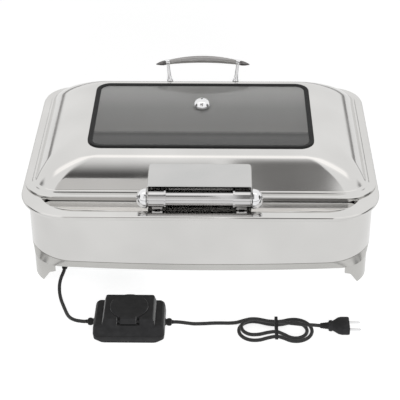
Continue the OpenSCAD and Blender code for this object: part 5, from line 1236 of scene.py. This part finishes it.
# %% World
WHITE = (1.0, 1.0, 1.0, 1.0)
WORLD_LIGHT, WORLD_SEEN = 0.25, 1.0
scene = bpy.context.scene
scene.view_settings.view_transform = "Standard"
world = bpy.data.worlds.new("white_room")
world.use_nodes = True
scene.world = world
tree = world.node_tree
sky = tree.nodes["Background"]
sky.inputs["Color"].default_value = WHITE
rays = add_node(tree, "ShaderNodeLightPath")


def seen_directly(tree, rays):
    """1 for rays from the camera, from a mirror or through glass, else 0."""
    first = add_node(tree, "ShaderNodeMath", operation="MAXIMUM")
    both = add_node(tree, "ShaderNodeMath", operation="MAXIMUM")
    join(tree, (rays, "Is Camera Ray", first, 0), (rays, "Is Glossy Ray", first, 1), (first, 0, both, 0),
         (rays, "Is Transmission Ray", both, 1))
    return both, 0


light_level = add_node(tree, "ShaderNodeMapRange", {"To Min": WORLD_LIGHT, "To Max": WORLD_SEEN})
join(tree, (*seen_directly(tree, rays), light_level, "Value"), (light_level, "Result", sky, "Strength"))
print("world:", world.name)

# %% Floor
FLOOR_HALF, FLOOR_Z = 12.0, -0.0004
FLOOR_GREY, FLOOR_GLOW, FLOOR_IN_MIRRORS = (0.6, 0.6, 0.6, 1.0), 0.8, 0.94
SQUARE = [(0, 0), (1, 0), (1, 1), (0, 1)]
floor_mesh = bpy.data.meshes.new("floor")
floor_mesh.from_pydata([((2 * u - 1) * FLOOR_HALF, (2 * v - 1) * FLOOR_HALF, FLOOR_Z) for u, v in SQUARE],
                       [], [(0, 1, 2, 3)])
floor = plain_piece("floor", floor_mesh)
white_floor, tree, shader = new_finish("white_floor", {
    "Base Color": FLOOR_GREY, "Roughness": 0.9, "Specular IOR Level": 0.0, "Emission Color": WHITE})
rays = add_node(tree, "ShaderNodeLightPath")
own_light = add_node(tree, "ShaderNodeMath", {1: FLOOR_GLOW}, operation="MULTIPLY")
plain_white = add_node(tree, "ShaderNodeEmission", {"Strength": FLOOR_IN_MIRRORS})
in_mirrors = add_node(tree, "ShaderNodeMixShader")
join(tree, (*seen_directly(tree, rays), own_light, 0), (own_light, 0, shader, "Emission Strength"),
     (rays, "Is Glossy Ray", in_mirrors, "Fac"), (shader, 0, in_mirrors, 1), (plain_white, 0, in_mirrors, 2),
     (in_mirrors, 0, tree.nodes["Material Output"], "Surface"))
floor_mesh.materials.append(white_floor)


# %% Softboxes
def softbox(name, place, aim, size, power):
    lamp = bpy.data.lights.new(name, "AREA")
    lamp.shape = "RECTANGLE"
    lamp.size, lamp.size_y = size
    lamp.energy = power
    holder = bpy.data.objects.new(name, lamp)
    holder.location = place
    holder.visible_glossy = False
    holder.rotation_euler = (Vector(aim) - Vector(place)).to_track_quat("-Z", "Y").to_euler()
    bpy.context.collection.objects.link(holder)


softbox("top_softbox", (-0.3, -0.2, 2.4), (0, 0, 0.1), (2.0, 1.6), 5)
softbox("left_softbox", (-2.2, -1.4, 1.6), (0, 0, 0.1), (1.2, 1.6), 5)
softbox("front_softbox", (0.5, -2.7, 0.6), (0, -0.3, 0.1), (2.0, 0.8), 64)


# %% Card finish
CARD_TINT = (1.0, 0.985, 0.975, 1.0)


def card_finish(name, shade, soft):
    """Light of the given strength; soft gives the shares of left, right, lower and upper edge that fade."""
    finish, tree, shader = new_finish(name, {})
    tree.nodes.remove(shader)
    place = add_node(tree, "ShaderNodeUVMap", uv_map="card")
    parts = add_node(tree, "ShaderNodeSeparateXYZ")
    join(tree, (place, "UV", parts, 0))
    cover = None
    for axis, edge, share in zip("XXYY", (0.0, 1.0, 0.0, 1.0), soft):
        if not share:
            continue
        fade = add_node(tree, "ShaderNodeMapRange", {"From Min": edge, "From Max": abs(edge - share)},
                        interpolation_type="SMOOTHSTEP")
        join(tree, (parts, axis, fade, "Value"))
        if cover:
            both = add_node(tree, "ShaderNodeMath", operation="MULTIPLY")
            join(tree, (*cover, both, 0), (fade, "Result", both, 1))
        cover = (both, 0) if cover else (fade, "Result")
    clear = add_node(tree, "ShaderNodeBsdfTransparent")
    glow = add_node(tree, "ShaderNodeEmission", {"Color": CARD_TINT, "Strength": shade})
    blend = add_node(tree, "ShaderNodeMixShader")
    join(tree, (*cover, blend, "Fac"), (clear, 0, blend, 1), (glow, 0, blend, 2),
         (blend, 0, tree.nodes["Material Output"], "Surface"))
    return finish


# %% Cards for mirrors
def only_in_mirrors(name, corners, faces, uvs, shade, soft):
    """A card that mirrors see and nothing else does."""
    mesh = bpy.data.meshes.new(name)
    mesh.from_pydata(corners, [], faces)
    for spot, uv in zip(mesh.uv_layers.new(name="card").data, uvs):
        spot.uv = uv
    mesh.materials.append(card_finish(name, shade, soft))
    card = plain_piece(name, mesh)
    for rays_of in ("camera", "diffuse", "transmission", "shadow"):
        setattr(card, "visible_" + rays_of, False)


DOME_FRONT = Vector((0.0, -0.14, 0.19))
CARD_AWAY = 1.6


def arched_card(name, x0, x1, low, high, shade, soft, steps=12):
    """A card on an arch over the dish, between two angles counted from the hinge side's horizon."""
    corners, faces, uvs = [], [], []
    for i in range(steps + 1):
        angle = radians(mix(low, high, i / steps))
        for x in (x0, x1):
            corners.append(DOME_FRONT + Vector((x, -CARD_AWAY * cos(angle), CARD_AWAY * sin(angle))))
    for i in range(steps):
        faces.append((2 * i, 2 * i + 1, 2 * i + 3, 2 * i + 2))
        uvs += [(0, i / steps), (1, i / steps), (1, (i + 1) / steps), (0, (i + 1) / steps)]
    only_in_mirrors(name, corners, faces, uvs, shade, soft)


arched_card("right_dark_card", 0.06, 0.42, 25, 86, 0.23, (0.1, 0.06, 0.05, 0.2))
arched_card("left_dark_card", -0.66, 0.02, 54, 82, 0.1, (0.25, 0.02, 0.02, 0.85))
arched_card("left_grey_card", -0.75, 0.04, 26, 54, 0.72, (0.25, 0.02, 0.1, 0.02))
arched_card("overhead_card", -1.6, 1.6, 80, 106, 1.36, (0.1, 0.1, 0.35, 0.35))
SIDE_X, SIDE_Y, SIDE_Z = 1.9, (-0.9, 0.5), (0.15, 1.5)
for side in (-1, 1):
    corners = [(side * SIDE_X, SIDE_Y[u], SIDE_Z[v]) for u, v in SQUARE]
    only_in_mirrors(f"side_dark_card_{side}", corners, [(0, 1, 2, 3)], SQUARE, 0.08, (0.3, 0.3, 0.2, 0.4))

# %% Dark line along the horizon
RING_R, RING_H, RING_SIDES = 4.0, 0.42, 64
ring_line = round_line(RING_R, RING_SIDES)
ring_faces = []
for i in range(RING_SIDES):
    j = (i + 1) % RING_SIDES
    ring_faces.append((i, j, j + RING_SIDES, i + RING_SIDES))
only_in_mirrors("horizon_ring", lifted(ring_line, 0.0) + lifted(ring_line, RING_H), ring_faces,
                SQUARE * RING_SIDES, 0.3, (0, 0, 0, 0.55))

# %% [markdown]
# ## A clean front wall
# In the picture the steel wall behind the cord is plain, without a mirror image of the black parts that
# lie in front of it. Ray visibility does that: the cord's pieces stay in view and keep their shadow, and
# only mirrors pass them over.

# %% Hide the cord's pieces from mirrors
cord_solids = ["controller_base", "controller_housing", "dial_cover", "temperature_dial", "dial_spindle",
               "thermostat", "cover_pin", "plug_boot", "plug_body", "plug_pins", "cord_tie"]
cord_pieces = [dish_cord, plug_cord, boss_set, dial_marks, seam_band] + boots
cord_pieces += [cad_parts[n] for n in cord_solids]
for piece in cord_pieces:
    piece.visible_glossy = False
print("hidden from mirrors:", len(cord_pieces))
